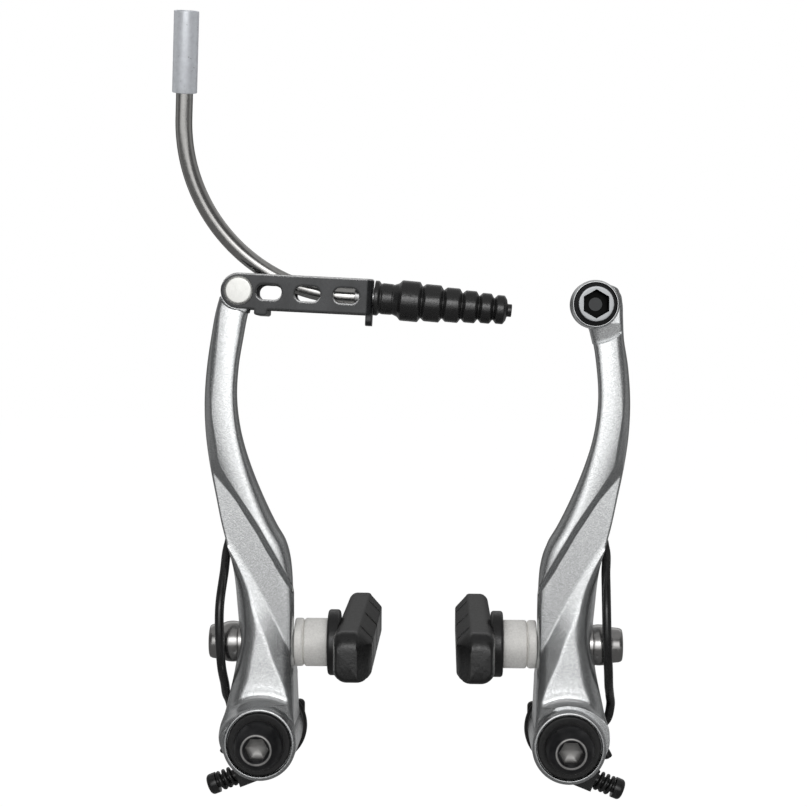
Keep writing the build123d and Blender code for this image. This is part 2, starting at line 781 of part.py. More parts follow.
with BuildPart() as right_inner_dome:
    mirror(left_inner_dome.part, about=Plane.YZ)
right_inner_dome.part.label = "right_inner_dome"
export_step(right_inner_dome.part, "parts/right_inner_dome.step")

cup_seat = dome_seat + seat_gap
with BuildPart() as left_inner_cup:
    with BuildSketch(stud_section):
        with BuildLine():
            rim = Polyline(
                (cup_seat, rim_reach),
                (cup_seat + 0.5, cup_radius),
                (cup_end - 0.3, cup_radius),
                (cup_end, cup_radius - 0.3),
                (cup_end, washer_hole),
                (cup_seat + dome_crown, washer_hole),
            )
            middle = (cup_seat + 0.68 * dome_crown, (washer_hole + rim_reach) / 2)
            ThreePointArc(rim @ 1, middle, rim @ 0)
        make_face()
    revolve(axis=stud_axis)
left_inner_cup.part.label = "left_inner_cup"
export_step(left_inner_cup.part, "parts/left_inner_cup.step")

with BuildPart() as right_inner_cup:
    mirror(left_inner_cup.part, about=Plane.YZ)
right_inner_cup.part.label = "right_inner_cup"
export_step(right_inner_cup.part, "parts/right_inner_cup.step")

# Dished washers on the nut side, in the pocket of the arm
outer_seat = -outer_pocket_floor - outer_dome_rim
with BuildPart() as left_outer_dome:
    with BuildSketch(stud_section):
        with BuildLine():
            rim = Polyline(
                (outer_seat - 0.7, washer_hole),
                (-outer_pocket_floor, washer_hole),
                (-outer_pocket_floor, outer_seat_radius),
                (outer_seat, outer_seat_radius),
            )
            middle = (outer_seat - 0.47, (washer_hole + outer_seat_radius) / 2)
            ThreePointArc(rim @ 1, middle, rim @ 0)
        make_face()
    revolve(axis=stud_axis)
left_outer_dome.part.label = "left_outer_dome"
export_step(left_outer_dome.part, "parts/left_outer_dome.step")

with BuildPart() as right_outer_dome:
    mirror(left_outer_dome.part, about=Plane.YZ)
right_outer_dome.part.label = "right_outer_dome"
export_step(right_outer_dome.part, "parts/right_outer_dome.step")

outer_cup_seat = outer_seat - seat_gap
outer_cup_end = outer_cup_seat - outer_cup_length
with BuildPart() as left_outer_cup:
    with BuildSketch(stud_section):
        with BuildLine():
            rim = Polyline(
                (outer_cup_seat, outer_seat_radius),
                (outer_cup_end, outer_seat_radius),
                (outer_cup_end, washer_hole),
                (outer_cup_seat - 0.7, washer_hole),
            )
            middle = (outer_cup_seat - 0.47, (washer_hole + outer_seat_radius) / 2)
            ThreePointArc(rim @ 1, middle, rim @ 0)
        make_face()
    revolve(axis=stud_axis)
left_outer_cup.part.label = "left_outer_cup"
export_step(left_outer_cup.part, "parts/left_outer_cup.step")

with BuildPart() as right_outer_cup:
    mirror(left_outer_cup.part, about=Plane.YZ)
right_outer_cup.part.label = "right_outer_cup"
export_step(right_outer_cup.part, "parts/right_outer_cup.step")

# Round nut on the stud, with a hexagon socket in its tapered end
nut_end = nut_seat + nut_length
with BuildPart() as left_pad_nut:
    with BuildSketch(stud_section):
        Polygon(
            (-stud_end - 0.3, 0),
            (-stud_end - 0.3, stud_radius + running_gap),
            (-nut_seat, stud_radius + running_gap),
            (-nut_seat, nut_radius),
            (-nut_end + nut_taper, nut_radius),
            (-nut_end, nut_radius - 0.7),
            (-nut_end, 0),
            align=None,
        )
    revolve(axis=stud_axis)
    with BuildSketch(stud_plane.offset(-nut_end)):
        RegularPolygon(nut_hex / 2, 6, major_radius=False)
    extrude(amount=0.45 * nut_length, mode=Mode.SUBTRACT)
left_pad_nut.part.label = "left_pad_nut"
export_step(left_pad_nut.part, "parts/left_pad_nut.step")

with BuildPart() as right_pad_nut:
    mirror(left_pad_nut.part, about=Plane.YZ)
right_pad_nut.part.label = "right_pad_nut"
export_step(right_pad_nut.part, "parts/right_pad_nut.step")

# Link: two slotted plates joined by an end wall and a bridge
half_link = link_height / 2
first_slot = 0.78 * link_slot_pitch
with BuildSketch(link_plane) as link_face:
    Circle(half_link)
    with Locations((link_length / 2, 0)):
        Rectangle(link_length, link_height)
    with Locations(*[(first_slot + link_slot_pitch * k, 0) for k in range(3)]):
        SlotOverall(link_slot_length, link_slot_height, mode=Mode.SUBTRACT)
    Circle(rivet_radius + 0.02, mode=Mode.SUBTRACT)
wall_plane = Plane(
    origin=link_plane.from_local_coords(Vector(link_length, 0, 0)),
    x_dir=(0, 1, 0),
    z_dir=link_axis,
)
with BuildPart() as link:
    with BuildSketch(link_plane.offset(link_gap / 2)):
        add(link_face.sketch_local)
    extrude(amount=link_plate)
    with BuildSketch(link_plane.offset(-link_gap / 2)):
        add(link_face.sketch_local)
    extrude(amount=-link_plate)
    # end wall with a tab below and a slot that the pipe lifts out of
    with BuildSketch(wall_plane):
        Rectangle(link_gap + 2 * link_plate, link_height)
        with Locations((0, -half_link)):
            RectangleRounded(link_gap, 2 * tab_drop, 1.2)
        Circle(nose_radius + running_gap, mode=Mode.SUBTRACT)
        with Locations((0, half_link / 2)):
            Rectangle(2 * pipe_bore, half_link, mode=Mode.SUBTRACT)
    extrude(amount=-link_plate)
    # bridge that stops the link against the arm
    with BuildSketch(link_plane.offset(-link_gap / 2 - link_plate)):
        with Locations((bridge_start + bridge_length / 2, -half_link - bridge_drop / 2 + 0.3)):
            RectangleRounded(bridge_length, bridge_drop + 0.6, 0.6)
    extrude(amount=link_gap + 2 * link_plate)
    # the plates bend round into the end wall
    upright_edges = link.edges().filter_by(Axis((0, 0, 0), wall_plane.y_dir))
    outside_edges = upright_edges.filter_by(lambda edge: abs(edge.center().Y) > link_gap / 2 + link_plate / 2)
    fillet(outside_edges.sort_by(Axis((0, 0, 0), link_axis))[-2:], link_bend)
link.part.label = "link"
export_step(link.part, "parts/link.step")

# Rivet that the link swings on
rivet_half = link_gap / 2 + link_plate
with BuildPart() as link_rivet:
    with BuildSketch(link_plane.offset(-rivet_half)):
        Circle(rivet_radius)
    extrude(amount=2 * rivet_half)
    with BuildSketch(link_plane.offset(rivet_half)):
        Circle(rivet_head_radius)
    extrude(amount=rivet_head_height)
    with BuildSketch(link_plane.offset(-rivet_half)):
        Circle(rivet_head_radius)
    extrude(amount=-rivet_head_height)
link_rivet.part.label = "link_rivet"
export_step(link_rivet.part, "parts/link_rivet.step")

# Lead pipe, bent round and leaning a little to the front
along = Vector(*link_axis)
upright = Vector(sin(radians(link_tilt)), 0, cos(radians(link_tilt)))
leaning = upright * cos(radians(pipe_lean)) + Vector(0, -sin(radians(pipe_lean)), 0)
pipe_plane = Plane(origin=wall_plane.origin, x_dir=along, z_dir=along.cross(leaning))
pipe_start = -link_plate - 1.0
bend_start = pipe_start - pipe_lead_in
with BuildLine(pipe_plane) as pipe_line:
    run = Line((pipe_start, 0), (bend_start, 0))
    bend = JernArc(run @ 1, run % 1, pipe_bend, -pipe_sweep)
    Line(bend @ 1, bend @ 1 + (bend % 1) * pipe_straight)
pipe_path = pipe_line.wire()
with BuildPart() as lead_pipe:
    with BuildSketch(Plane(origin=pipe_path @ 0, z_dir=pipe_path % 0)):
        Circle(pipe_radius)
        Circle(pipe_bore, mode=Mode.SUBTRACT)
    sweep(path=pipe_path)
lead_pipe.part.label = "lead_pipe"
export_step(lead_pipe.part, "parts/lead_pipe.step")

# Plastic liner of the pipe
with BuildPart() as pipe_liner:
    with BuildSketch(Plane(origin=pipe_path @ 0, z_dir=pipe_path % 0)):
        Circle(pipe_bore - 0.02)
        Circle(liner_bore, mode=Mode.SUBTRACT)
    sweep(path=pipe_path)
pipe_liner.part.label = "pipe_liner"
export_step(pipe_liner.part, "parts/pipe_liner.step")

# Nose of the pipe, which turns in the end wall of the link
nose_axis = Axis(tuple(pipe_plane.origin), tuple(along))
with BuildPart() as pipe_nose:
    with BuildSketch(pipe_plane):
        Polygon(
            (-link_plate - nose_grip, pipe_radius + 0.02),
            (-link_plate - nose_grip, nose_collar - 0.3),
            (-link_plate - nose_grip + 0.3, nose_collar),
            (-link_plate - 0.2, nose_collar),
            (-link_plate - 0.2, nose_radius),
            (1.2, nose_radius),
            (nose_reach, nose_radius - 0.6),
            (nose_reach, liner_bore),
            (pipe_start + 0.1, liner_bore),
            (pipe_start + 0.1, pipe_radius + 0.02),
            align=None,
        )
    revolve(axis=nose_axis)
pipe_nose.part.label = "pipe_nose"
export_step(pipe_nose.part, "parts/pipe_nose.step")

# Ferrule on the upper end of the pipe, open for the cable casing
ferrule_plane = Plane(origin=pipe_path @ 1, z_dir=pipe_path % 1)
with BuildPart() as pipe_ferrule:
    with BuildSketch(ferrule_plane.offset(-ferrule_grip)):
        Circle(ferrule_radius)
    extrude(amount=ferrule_length)
    chamfer(pipe_ferrule.edges().filter_by(GeomType.CIRCLE), 0.25)
    with BuildSketch(ferrule_plane.offset(-ferrule_grip)):
        Circle(pipe_radius + 0.02)
    extrude(amount=ferrule_grip + 0.05, mode=Mode.SUBTRACT)
    with BuildSketch(ferrule_plane):
        Circle(liner_bore)
    extrude(amount=ferrule_length, mode=Mode.SUBTRACT)
    with BuildSketch(ferrule_plane.offset(ferrule_length - ferrule_grip)):
        Circle(casing_radius)
    extrude(amount=-casing_depth, mode=Mode.SUBTRACT)
pipe_ferrule.part.label = "pipe_ferrule"
export_step(pipe_ferrule.part, "parts/pipe_ferrule.step")

# Rubber boot: a flanged neck, then rings that shrink in pitch and radius towards the tip
boot_axis = (cos(radians(boot_tilt)), 0, -sin(radians(boot_tilt)))
boot_plane = Plane(origin=wall_plane.origin, x_dir=boot_axis, z_dir=(0, -1, 0))
boot_start = 0.3
ring_points = []
ring_x = boot_neck
for k in range(boot_rings):
    pitch = boot_ring_pitch * boot_ring_ratio**k
    crest = boot_ring_radius - boot_ring_shrink * k
    ring_points.append((ring_x + 0.14 * pitch, crest))
    ring_points.append((ring_x + 0.76 * pitch, crest))
    ring_points.append((ring_x + pitch, crest - boot_groove))
    ring_x = ring_x + pitch
boot_end = ring_x + 1.2
with BuildPart() as boot:
    with BuildSketch(boot_plane):
        Polygon(
            (boot_start, boot_mouth),
            (boot_start, boot_flange_radius),
            (1.3, boot_flange_radius),
            (1.8, boot_flange_radius - 0.7),
            (2.3, boot_flange_radius - 0.45),
            (3.1, boot_flange_radius - 0.45),
            (3.5, boot_flange_radius - 0.8),
            (boot_neck - 0.6, boot_ring_radius - boot_groove),
            *ring_points,
            (ring_x + 0.2, boot_tip_radius),
            (boot_end, boot_tip_radius),
            (boot_end, boot_hole),
            (ring_x - 1.0, boot_hole),
            (ring_x - 1.6, boot_mouth - 1.0),
            (boot_neck, boot_mouth),
            align=None,
        )
    revolve(axis=Axis(tuple(boot_plane.origin), boot_axis))
boot.part.label = "boot"
export_step(boot.part, "parts/boot.step")

# Cable anchor bolt and the washer that clamps the cable
with BuildPart() as cable_washer:
    with BuildSketch(boss_plane.offset(boss_floor)):
        Circle(boss_radius - boss_rim - running_gap)
        Circle(stud_radius + running_gap, mode=Mode.SUBTRACT)
    extrude(amount=cable_washer_thickness)
cable_washer.part.label = "cable_washer"
export_step(cable_washer.part, "parts/cable_washer.step")

with BuildPart() as cable_bolt:
    with BuildSketch(boss_plane.offset(boss_front - boss_rim)):
        Circle(cable_bolt_radius)
    extrude(amount=cable_bolt_height)
    chamfer(cable_bolt.faces().sort_by(Axis.Y)[0].edges(), 0.4)
    with BuildSketch(boss_plane.offset(boss_front - boss_rim)):
        Circle(stud_radius)
    extrude(amount=-boss_front + boss_rim - arm_back + 1)
    with BuildSketch(boss_plane.offset(boss_front - boss_rim + cable_bolt_height)):
        RegularPolygon(cable_hex / 2, 6, major_radius=False, rotation=30)
    extrude(amount=-cable_bolt_height - 0.8, mode=Mode.SUBTRACT)
cable_bolt.part.label = "cable_bolt"
export_step(cable_bolt.part, "parts/cable_bolt.step")
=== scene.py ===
import math

import bmesh
import bpy
import numpy as np
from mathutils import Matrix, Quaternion, Vector


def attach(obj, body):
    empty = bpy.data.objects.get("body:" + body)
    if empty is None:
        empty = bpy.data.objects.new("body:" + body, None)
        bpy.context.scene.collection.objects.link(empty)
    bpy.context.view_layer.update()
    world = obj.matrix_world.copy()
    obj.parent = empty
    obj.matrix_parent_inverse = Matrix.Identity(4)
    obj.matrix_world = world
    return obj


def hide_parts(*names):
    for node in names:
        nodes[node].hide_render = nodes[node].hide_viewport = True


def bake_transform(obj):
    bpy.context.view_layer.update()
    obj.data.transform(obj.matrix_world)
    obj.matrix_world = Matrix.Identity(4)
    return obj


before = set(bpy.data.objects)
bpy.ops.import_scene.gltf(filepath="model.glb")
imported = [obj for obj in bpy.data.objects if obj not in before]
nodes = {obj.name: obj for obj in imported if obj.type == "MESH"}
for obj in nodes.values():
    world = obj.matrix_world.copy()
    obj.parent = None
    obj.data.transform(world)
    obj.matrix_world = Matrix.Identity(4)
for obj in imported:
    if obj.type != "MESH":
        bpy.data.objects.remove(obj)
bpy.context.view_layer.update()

# Lengths are in millimetres and become metres in piece(). In the arm's own plane u runs inwards from
# the pivot, z up and d towards the front, so Y is -d.
PIVOT = 36.75
STUD_Z = 22.3
PIN = (-6.4, 107.9)
ANCHOR = (-5.6, 104.9)
PANEL = 6.0
TONGUE = 4.1
PAD_BACK = 17.95
PAD_FACE = 26.85
FRONT = (0, -1, 0)
INWARD = (1, 0, 0)
pivot = (-PIVOT, 0, 0)
stud = (-PIVOT, 0, STUD_Z)


# Materials


class Flow:
    """A number on its way through a finish. Arithmetic on it adds Math nodes."""

    def __init__(self, finish, socket):
        self.finish = finish
        self.socket = socket

    def joined(self, operation, first, second=0.0):
        """A Math node that joins two numbers or flows."""
        return self.finish.node("ShaderNodeMath", {"operation": operation}, {0: first, 1: second})

    def __add__(self, other):
        return self.joined("ADD", self, other)

    def __sub__(self, other):
        return self.joined("SUBTRACT", self, other)

    def __rsub__(self, other):
        return self.joined("SUBTRACT", other, self)

    def __mul__(self, other):
        return self.joined("MULTIPLY", self, other)

    def __pow__(self, other):
        return self.joined("POWER", self, other)

    def __abs__(self):
        return self.joined("ABSOLUTE", self)

    __radd__ = __add__
    __rmul__ = __mul__


class Finish:
    """A material with one Principled shader, built up from nodes on Object coordinates."""

    def __init__(self, name, **constants):
        self.material = bpy.data.materials.new(name)
        self.material.use_nodes = True
        self.tree = self.material.node_tree
        self.tree.nodes.clear()
        out = self.tree.nodes.new("ShaderNodeOutputMaterial")
        self.shader = self.tree.nodes.new("ShaderNodeBsdfPrincipled")
        self.tree.links.new(self.shader.outputs[0], out.inputs["Surface"])
        for key, value in constants.items():
            self.shader.inputs[key.replace("_", " ")].default_value = value
        self.place = self.node("ShaderNodeTexCoord", out="Object")

    def node(self, kind, settings=None, values=None, out=0):
        """Any node: its settings are set first, then the values or links of its sockets."""
        made = self.tree.nodes.new(kind)
        for key, value in (settings or {}).items():
            setattr(made, key, value)
        for key, value in (values or {}).items():
            self.feed(made.inputs[key], value)
        return Flow(self, made.outputs[out])

    def feed(self, socket, value):
        """Links a flow to a socket, or sets a plain value on it."""
        if isinstance(value, Flow):
            self.tree.links.new(value.socket, socket)
        else:
            socket.default_value = value

    def set(self, **flows):
        """Feeds the shader's sockets with flows or plain values."""
        for key, value in flows.items():
            self.feed(self.shader.inputs[key.replace("_", " ")], value)
        return self

    def axis(self, name):
        """One coordinate of the place, in metres."""
        return self.node("ShaderNodeSeparateXYZ", None, {0: self.place}, out=name)

    def from_axis(self, x, z):
        """Distance from the line along Y through x, z, or through its mirror image, in metres."""
        side = abs(self.axis("X")) - 0.001 * x
        up = self.axis("Z") - 0.001 * z
        return (side * side + up * up) ** 0.5

    def noise(self, scale, detail=2.0, roughness=0.5, stretch=None):
        """Value of a noise texture, whose scale counts features in a metre."""
        where = self.place
        if stretch:
            where = self.node("ShaderNodeMapping", None, {"Vector": where, "Scale": stretch})
        values = {"Vector": where, "Scale": scale, "Detail": detail, "Roughness": roughness}
        return self.node("ShaderNodeTexNoise", None, values)

    def speckle(self, scale):
        """One random number for each small cell."""
        cells = self.node("ShaderNodeTexVoronoi", None, {"Vector": self.place, "Scale": scale}, out="Color")
        return self.node("ShaderNodeSeparateColor", None, {0: cells})

    def span(self, flow, low, high, start, end):
        """Flow from start..end carried to low..high, and held there outside."""
        values = {"Value": flow, "From Min": start, "From Max": end, "To Min": low, "To Max": high}
        return self.node("ShaderNodeMapRange", {"clamp": True}, values)

    def tint(self, factor, dark, light):
        """A colour between two, by a factor. Each may be a colour or a flow."""
        ends = [colour if isinstance(colour, Flow) else (*colour, 1) for colour in (dark, light)]
        values = {"Factor": factor, 6: ends[0], 7: ends[1]}
        return self.node("ShaderNodeMix", {"data_type": "RGBA"}, values, out=2)

    def bump(self, height, distance, strength=1.0, normal=None):
        """Normal tilted by a height, whose full range stands for the distance in metres."""
        values = {"Height": height, "Distance": distance, "Strength": strength}
        if normal:
            values["Normal"] = normal
        return self.node("ShaderNodeBump", None, values)


def silver_paint():
    """Satin silver: fine flakes that differ in brightness, over a slow cloudiness."""
    f = Finish("silver_paint", Metallic=0.95, IOR=1.5)
    flakes = f.speckle(4600)
    cloud = f.noise(160, 3)
    shade = f.span(flakes * 0.8 + cloud * 0.2, 0, 1, 0.1, 0.9)
    f.set(
        Base_Color=f.tint(shade, (0.575, 0.585, 0.59), (0.725, 0.735, 0.74)),
        Roughness=f.span(cloud, 0.24, 0.27, 0.3, 0.7),
        Normal=f.bump(flakes, 0.000025, 0.35),
    )
    return f.material


def black_bolt():
    """Blackened bolt: satin, with thin blotches, rubbed bright on the rim of its socket and bare inside."""
    f = Finish("black_bolt", IOR=1.5, Specular_IOR_Level=0.3)
    blotch = f.noise(420, 4)
    reach = f.from_axis(PIVOT, 0)
    inside = f.span(reach, 1, 0, 0.003, 0.0032) * f.span(f.axis("Y"), 0, 1, -0.0182, -0.0166)
    rim = f.span(abs(reach - 0.00345), 1, 0, 0.00008, 0.0003) * f.span(blotch, 0.5, 1, 0.3, 0.55)
    bare = f.span(inside + rim, 0, 1, 0, 1)
    black = f.tint(f.span(blotch, 0, 1, 0.35, 0.75), (0.008, 0.008, 0.009), (0.02, 0.02, 0.021))
    f.set(
        Base_Color=f.tint(bare, black, (0.36, 0.355, 0.345)),
        Metallic=f.span(bare, 0.1, 0.6, 0, 1),
        Roughness=f.span(blotch, 0.32, 0.42, 0.3, 0.7),
        Normal=f.bump(f.noise(3000, 2), 0.00001, 0.4),
    )
    return f.material


def anchor_bolt():
    """Grey plated bolt. Its hexagon socket is painted near black as shade, a touch lighter at the round at
    its bottom.
    """
    f = Finish("anchor_bolt", Metallic=1.0, IOR=1.5)
    marks = f.noise(900, 4, 0.6)
    reach = f.from_axis(PIVOT - ANCHOR[0], ANCHOR[1])
    # painted shade: inside the socket the colour goes near black, a touch lighter at the round at its bottom
    deep = f.span(f.axis("Y"), 0, 1, -0.01176, -0.0117) * f.span(reach, 1, 0, 0.0036, 0.0038)
    dark = deep * f.span(reach, 0.88, 1, 0.00155, 0.00165)
    plated = f.tint(f.span(marks, 0, 1, 0.3, 0.7), (0.34, 0.35, 0.36), (0.44, 0.45, 0.46))
    f.set(
        Base_Color=f.tint(dark, plated, (0.006, 0.006, 0.006)),
        Roughness=f.span(marks, 0.3, 0.42, 0.3, 0.7),
        Normal=f.bump(marks, 0.00001, 0.25),
    )
    return f.material


def black_steel():
    """Blackened steel: satin, with faint blotches where the film is thin."""
    f = Finish("black_steel", Metallic=0.1, IOR=1.5, Specular_IOR_Level=0.1)
    blotch = f.noise(420, 4)
    f.set(
        Base_Color=f.tint(f.span(blotch, 0, 1, 0.35, 0.75), (0.008, 0.008, 0.009), (0.022, 0.022, 0.023)),
        Roughness=f.span(blotch, 0.26, 0.4, 0.3, 0.7),
        Normal=f.bump(f.noise(3000, 2), 0.00001, 0.4),
    )
    return f.material


def steel(name, tone, low, high, depth=0.25, metal=1.0, rim=1.0):
    """Plain steel: a bright metal with fine turning marks in its roughness. A rim below 1 darkens it where
    it turns away from the eye."""
    f = Finish(name, Metallic=metal, IOR=1.5, Specular_Tint=(rim, rim, rim, 1))
    marks = f.noise(900, 4, 0.6)
    f.set(
        Base_Color=f.tint(f.span(marks, 0, 1, 0.3, 0.7), tuple(0.86 * c for c in tone), tone),
        Roughness=f.span(marks, low, high, 0.3, 0.7),
        Normal=f.bump(marks, 0.00001, depth),
    )
    return f.material


def blasted_metal():
    """Washers blasted with fine grit: pale, dull and pitted."""
    f = Finish("blasted_metal", Metallic=0.35, IOR=1.5)
    grit = f.noise(2000, 4, 0.75)
    patch = f.noise(240, 2)
    f.set(
        Base_Color=f.tint(f.span(grit + 0.5 * patch, 0, 1, 0.5, 1.0), (0.68, 0.67, 0.64), (0.9, 0.89, 0.86)),
        Roughness=f.span(grit, 0.5, 0.7, 0.3, 0.7),
        Normal=f.bump(grit, 0.0001, 0.8),
    )
    return f.material


def black_rubber(name, tone, scale, depth, low, high, shine=0.5):
    """Moulded rubber: a fine grain that breaks up its shine, and a slightly paler bloom."""
    f = Finish(name, IOR=1.5, Specular_IOR_Level=shine)
    grain = f.noise(scale, 4, 0.6)
    bloom = f.noise(90, 3)
    shade = f.span(bloom * 0.7 + grain * 0.3, 0, 1, 0.35, 0.65)
    f.set(
        Base_Color=f.tint(shade, tuple(0.6 * c for c in tone), tone),
        Roughness=f.span(grain, low, high, 0.3, 0.7),
        Normal=f.bump(grain, depth, 0.6),
    )
    return f.material


def black_plastic():
    """Moulded plastic with a fine spark-eroded texture."""
    f = Finish("black_plastic", IOR=1.46)
    grain = f.noise(2200, 3)
    f.set(
        Base_Color=f.tint(f.span(grain, 0, 1, 0.3, 0.7), (0.009, 0.009, 0.009), (0.02, 0.02, 0.02)),
        Roughness=f.span(grain, 0.36, 0.5, 0.3, 0.7),
        Normal=f.bump(grain, 0.00002, 0.4),
    )
    return f.material


def black_wire():
    """Black lacquer on spring wire: glossy, with drawing lines in the film."""
    f = Finish("black_wire", IOR=1.52, Coat_Weight=0.3, Coat_Roughness=0.12)
    lines = f.noise(700, 3, 0.6, (1, 1, 0.15))
    f.set(
        Base_Color=f.tint(f.span(lines, 0, 1, 0.3, 0.7), (0.006, 0.006, 0.006), (0.016, 0.016, 0.016)),
        Roughness=f.span(lines, 0.2, 0.34, 0.3, 0.7),
    )
    return f.material


def dark_plate():
    """Stamped plate with a glossy dark coat, fine orange peel and faint grey cloud. Its edges are eased
    by the shading, and where they look up a bright line is painted into the colour as a highlight."""
    f = Finish("dark_plate", IOR=1.5, Coat_Weight=0.4, Coat_Roughness=0.1)
    peel = f.noise(1500, 3)
    cloud = f.noise(120, 2)
    round_edge = f.node("ShaderNodeBevel", {"samples": 8}, {"Radius": 0.0008})
    up = f.node("ShaderNodeSeparateXYZ", None, {0: round_edge}, out="Z")
    # painted highlight: where the eased edge looks up, its colour and metalness are raised to a bright line
    painted_highlight = f.span(up, 0, 1, 0.16, 0.24) * f.span(up, 1, 0, 0.5, 0.62)
    coat = f.tint(f.span(cloud, 0, 1, 0.3, 0.7), (0.014, 0.015, 0.016), (0.03, 0.031, 0.033))
    f.set(
        Base_Color=f.tint(painted_highlight, coat, (0.95, 0.95, 0.95)),
        Metallic=f.span(painted_highlight, 0.5, 0.7, 0, 1),
        Roughness=f.span(peel, 0.24, 0.36, 0.3, 0.7),
        Normal=f.bump(peel, 0.00001, 0.3, round_edge),
    )
    return f.material


def liner_plastic():
    """Waxy white lining of the pipe."""
    f = Finish("liner_plastic", IOR=1.45)
    haze = f.noise(500, 2)
    f.set(
        Base_Color=f.tint(haze, (0.62, 0.62, 0.6), (0.75, 0.75, 0.73)),
        Roughness=f.span(haze, 0.4, 0.55, 0.3, 0.7),
    )
    return f.material


SILVER = silver_paint()
BLACK_BOLT = black_bolt()
ANCHOR_BOLT = anchor_bolt()
BLACK_STEEL = black_steel()
BRIGHT_STEEL = steel("bright_steel", (0.62, 0.61, 0.6), 0.18, 0.26, depth=0.12)
PIPE_STEEL = steel("pipe_steel", (0.84, 0.83, 0.81), 0.17, 0.22, depth=0.03, rim=0.2)
PLAIN_STEEL = steel("plain_steel", (0.55, 0.55, 0.55), 0.28, 0.42)
RIVET_STEEL = steel("rivet_steel", (0.88, 0.88, 0.85), 0.36, 0.46)
FERRULE_METAL = steel("ferrule_metal", (0.84, 0.87, 0.91), 0.27, 0.32, depth=0.05, metal=0.5)
BLASTED = blasted_metal()
PAD_RUBBER = black_rubber("pad_rubber", (0.008, 0.008, 0.008), 1400, 0.0001, 0.26, 0.42, 0.8)
BOOT_RUBBER = black_rubber("boot_rubber", (0.011, 0.011, 0.011), 2000, 0.00009, 0.2, 0.34, 1.0)
PLASTIC = black_plastic()
WIRE = black_wire()
PLATE = dark_plate()
LINER = liner_plastic()


# Shapes


def piece(name, patches, finish, body=None, stands_for=(), crease=40):
    """One object made of patches. A patch is an array of points, rows by columns by 3, in millimetres,
    with two flags for rows and columns that close on themselves; each cell of the grid is one face."""
    points, faces, start = [], [], 0
    for grid, close_rows, close_columns in patches:
        rows, columns = grid.shape[:2]
        index = start + np.arange(rows * columns).reshape(rows, columns)
        if close_rows:
            index = np.vstack([index, index[:1]])
        if close_columns:
            index = np.hstack([index, index[:, :1]])
        corners = [index[:-1, :-1], index[:-1, 1:], index[1:, 1:], index[1:, :-1]]
        faces.append(np.stack(corners, axis=-1).reshape(-1, 4))
        points.append(grid.reshape(-1, 3))
        start += rows * columns
    mesh = bpy.data.meshes.new(name)
    mesh.from_pydata(np.vstack(points) * 0.001, [], np.vstack(faces).tolist())
    work = bmesh.new()
    work.from_mesh(mesh)
    bmesh.ops.remove_doubles(work, verts=work.verts, dist=1e-6)
    bmesh.ops.dissolve_degenerate(work, edges=work.edges, dist=1e-7)
    bmesh.ops.recalc_face_normals(work, faces=work.faces)
    work.to_mesh(mesh)
    work.free()
    mesh.polygons.foreach_set("use_smooth", np.ones(len(mesh.polygons), bool))
    mesh.set_sharp_from_angle(angle=math.radians(crease))
    mesh.materials.append(finish)
    made = bpy.data.objects.new(name, mesh)
    bpy.context.scene.collection.objects.link(made)
    if body:
        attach(made, body)
    if stands_for:
        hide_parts(*stands_for)
    return made


def through(x, stations):
    """Smooth curve through stations (x, y): cubic pieces whose slopes are those of the neighbours."""
    xs, ys = np.array(stations, float).T
    slopes = np.gradient(ys, xs)
    k = np.clip(np.searchsorted(xs, x) - 1, 0, len(xs) - 2)
    h = xs[k + 1] - xs[k]
    t = np.clip((x - xs[k]) / h, 0, 1)
    return (
        (2 * t**3 - 3 * t**2 + 1) * ys[k]
        + (t**3 - 2 * t**2 + t) * h * slopes[k]
        + (3 * t**2 - 2 * t**3) * ys[k + 1]
        + (t**3 - t**2) * h * slopes[k + 1]
    )


def higher(a, b, blend):
    """The greater of two heights. Where they come within the blend of each other, a parabola rounds the
    valley between them."""
    h = np.clip(0.5 + 0.5 * (a - b) / blend, 0, 1)
    return b + (a - b) * h + blend * h * (1 - h)


def lower(a, b, blend):
    """The lesser of two heights, with the edge between them rounded in the same way."""
    return -higher(-np.asarray(a), -np.asarray(b), blend)


def eased(points, radius, steps=5):
    """Profile with its corners eased: each becomes a short parabola that starts and ends at most radius
    away from it."""
    p = np.asarray(points, float)
    corner = p[1:-1]
    back, on = p[:-2] - corner, p[2:] - corner
    back_length = np.linalg.norm(back, axis=1, keepdims=True)
    on_length = np.linalg.norm(on, axis=1, keepdims=True)
    r = np.minimum(np.reshape(radius, (-1, 1)), 0.45 * np.minimum(back_length, on_length))
    a = (corner + back / back_length * r)[:, None]
    b = (corner + on / on_length * r)[:, None]
    t = np.linspace(0, 1, steps)[None, :, None]
    arcs = (1 - t) ** 2 * a + 2 * t * (1 - t) * corner[:, None] + t**2 * b
    return np.vstack([p[:1], arcs.reshape(-1, p.shape[1]), p[-1:]])


def turned(profile, origin, axis, turns=96, phase=0.0):
    """Profile (along the axis, radius, share of hexagon) turned about the axis. A share of 1 reads the
    radius as half the width across the flats: it is divided by the cosine of the angle from the middle
    of a flat."""
    profile = np.asarray(profile, float)
    axis = np.asarray(axis, float) / np.linalg.norm(axis)
    side = np.cross(axis, (0.0, 0.0, 1.0) if abs(axis[2]) < 0.9 else (1.0, 0.0, 0.0))
    side /= np.linalg.norm(side)
    up = np.cross(axis, side)
    angle = np.linspace(0, 2 * np.pi, turns, endpoint=False)
    flat = 1 / np.cos(np.mod(angle + phase, np.pi / 3) - np.pi / 6)
    share = profile[:, 2:3] if profile.shape[1] > 2 else np.zeros((len(profile), 1))
    radius = profile[:, 1:2] * (1 + share * (flat[None] - 1))
    ring = np.cos(angle)[:, None] * side + np.sin(angle)[:, None] * up
    grid = np.asarray(origin, float) + profile[:, :1, None] * axis + radius[..., None] * ring[None]
    return grid, False, True


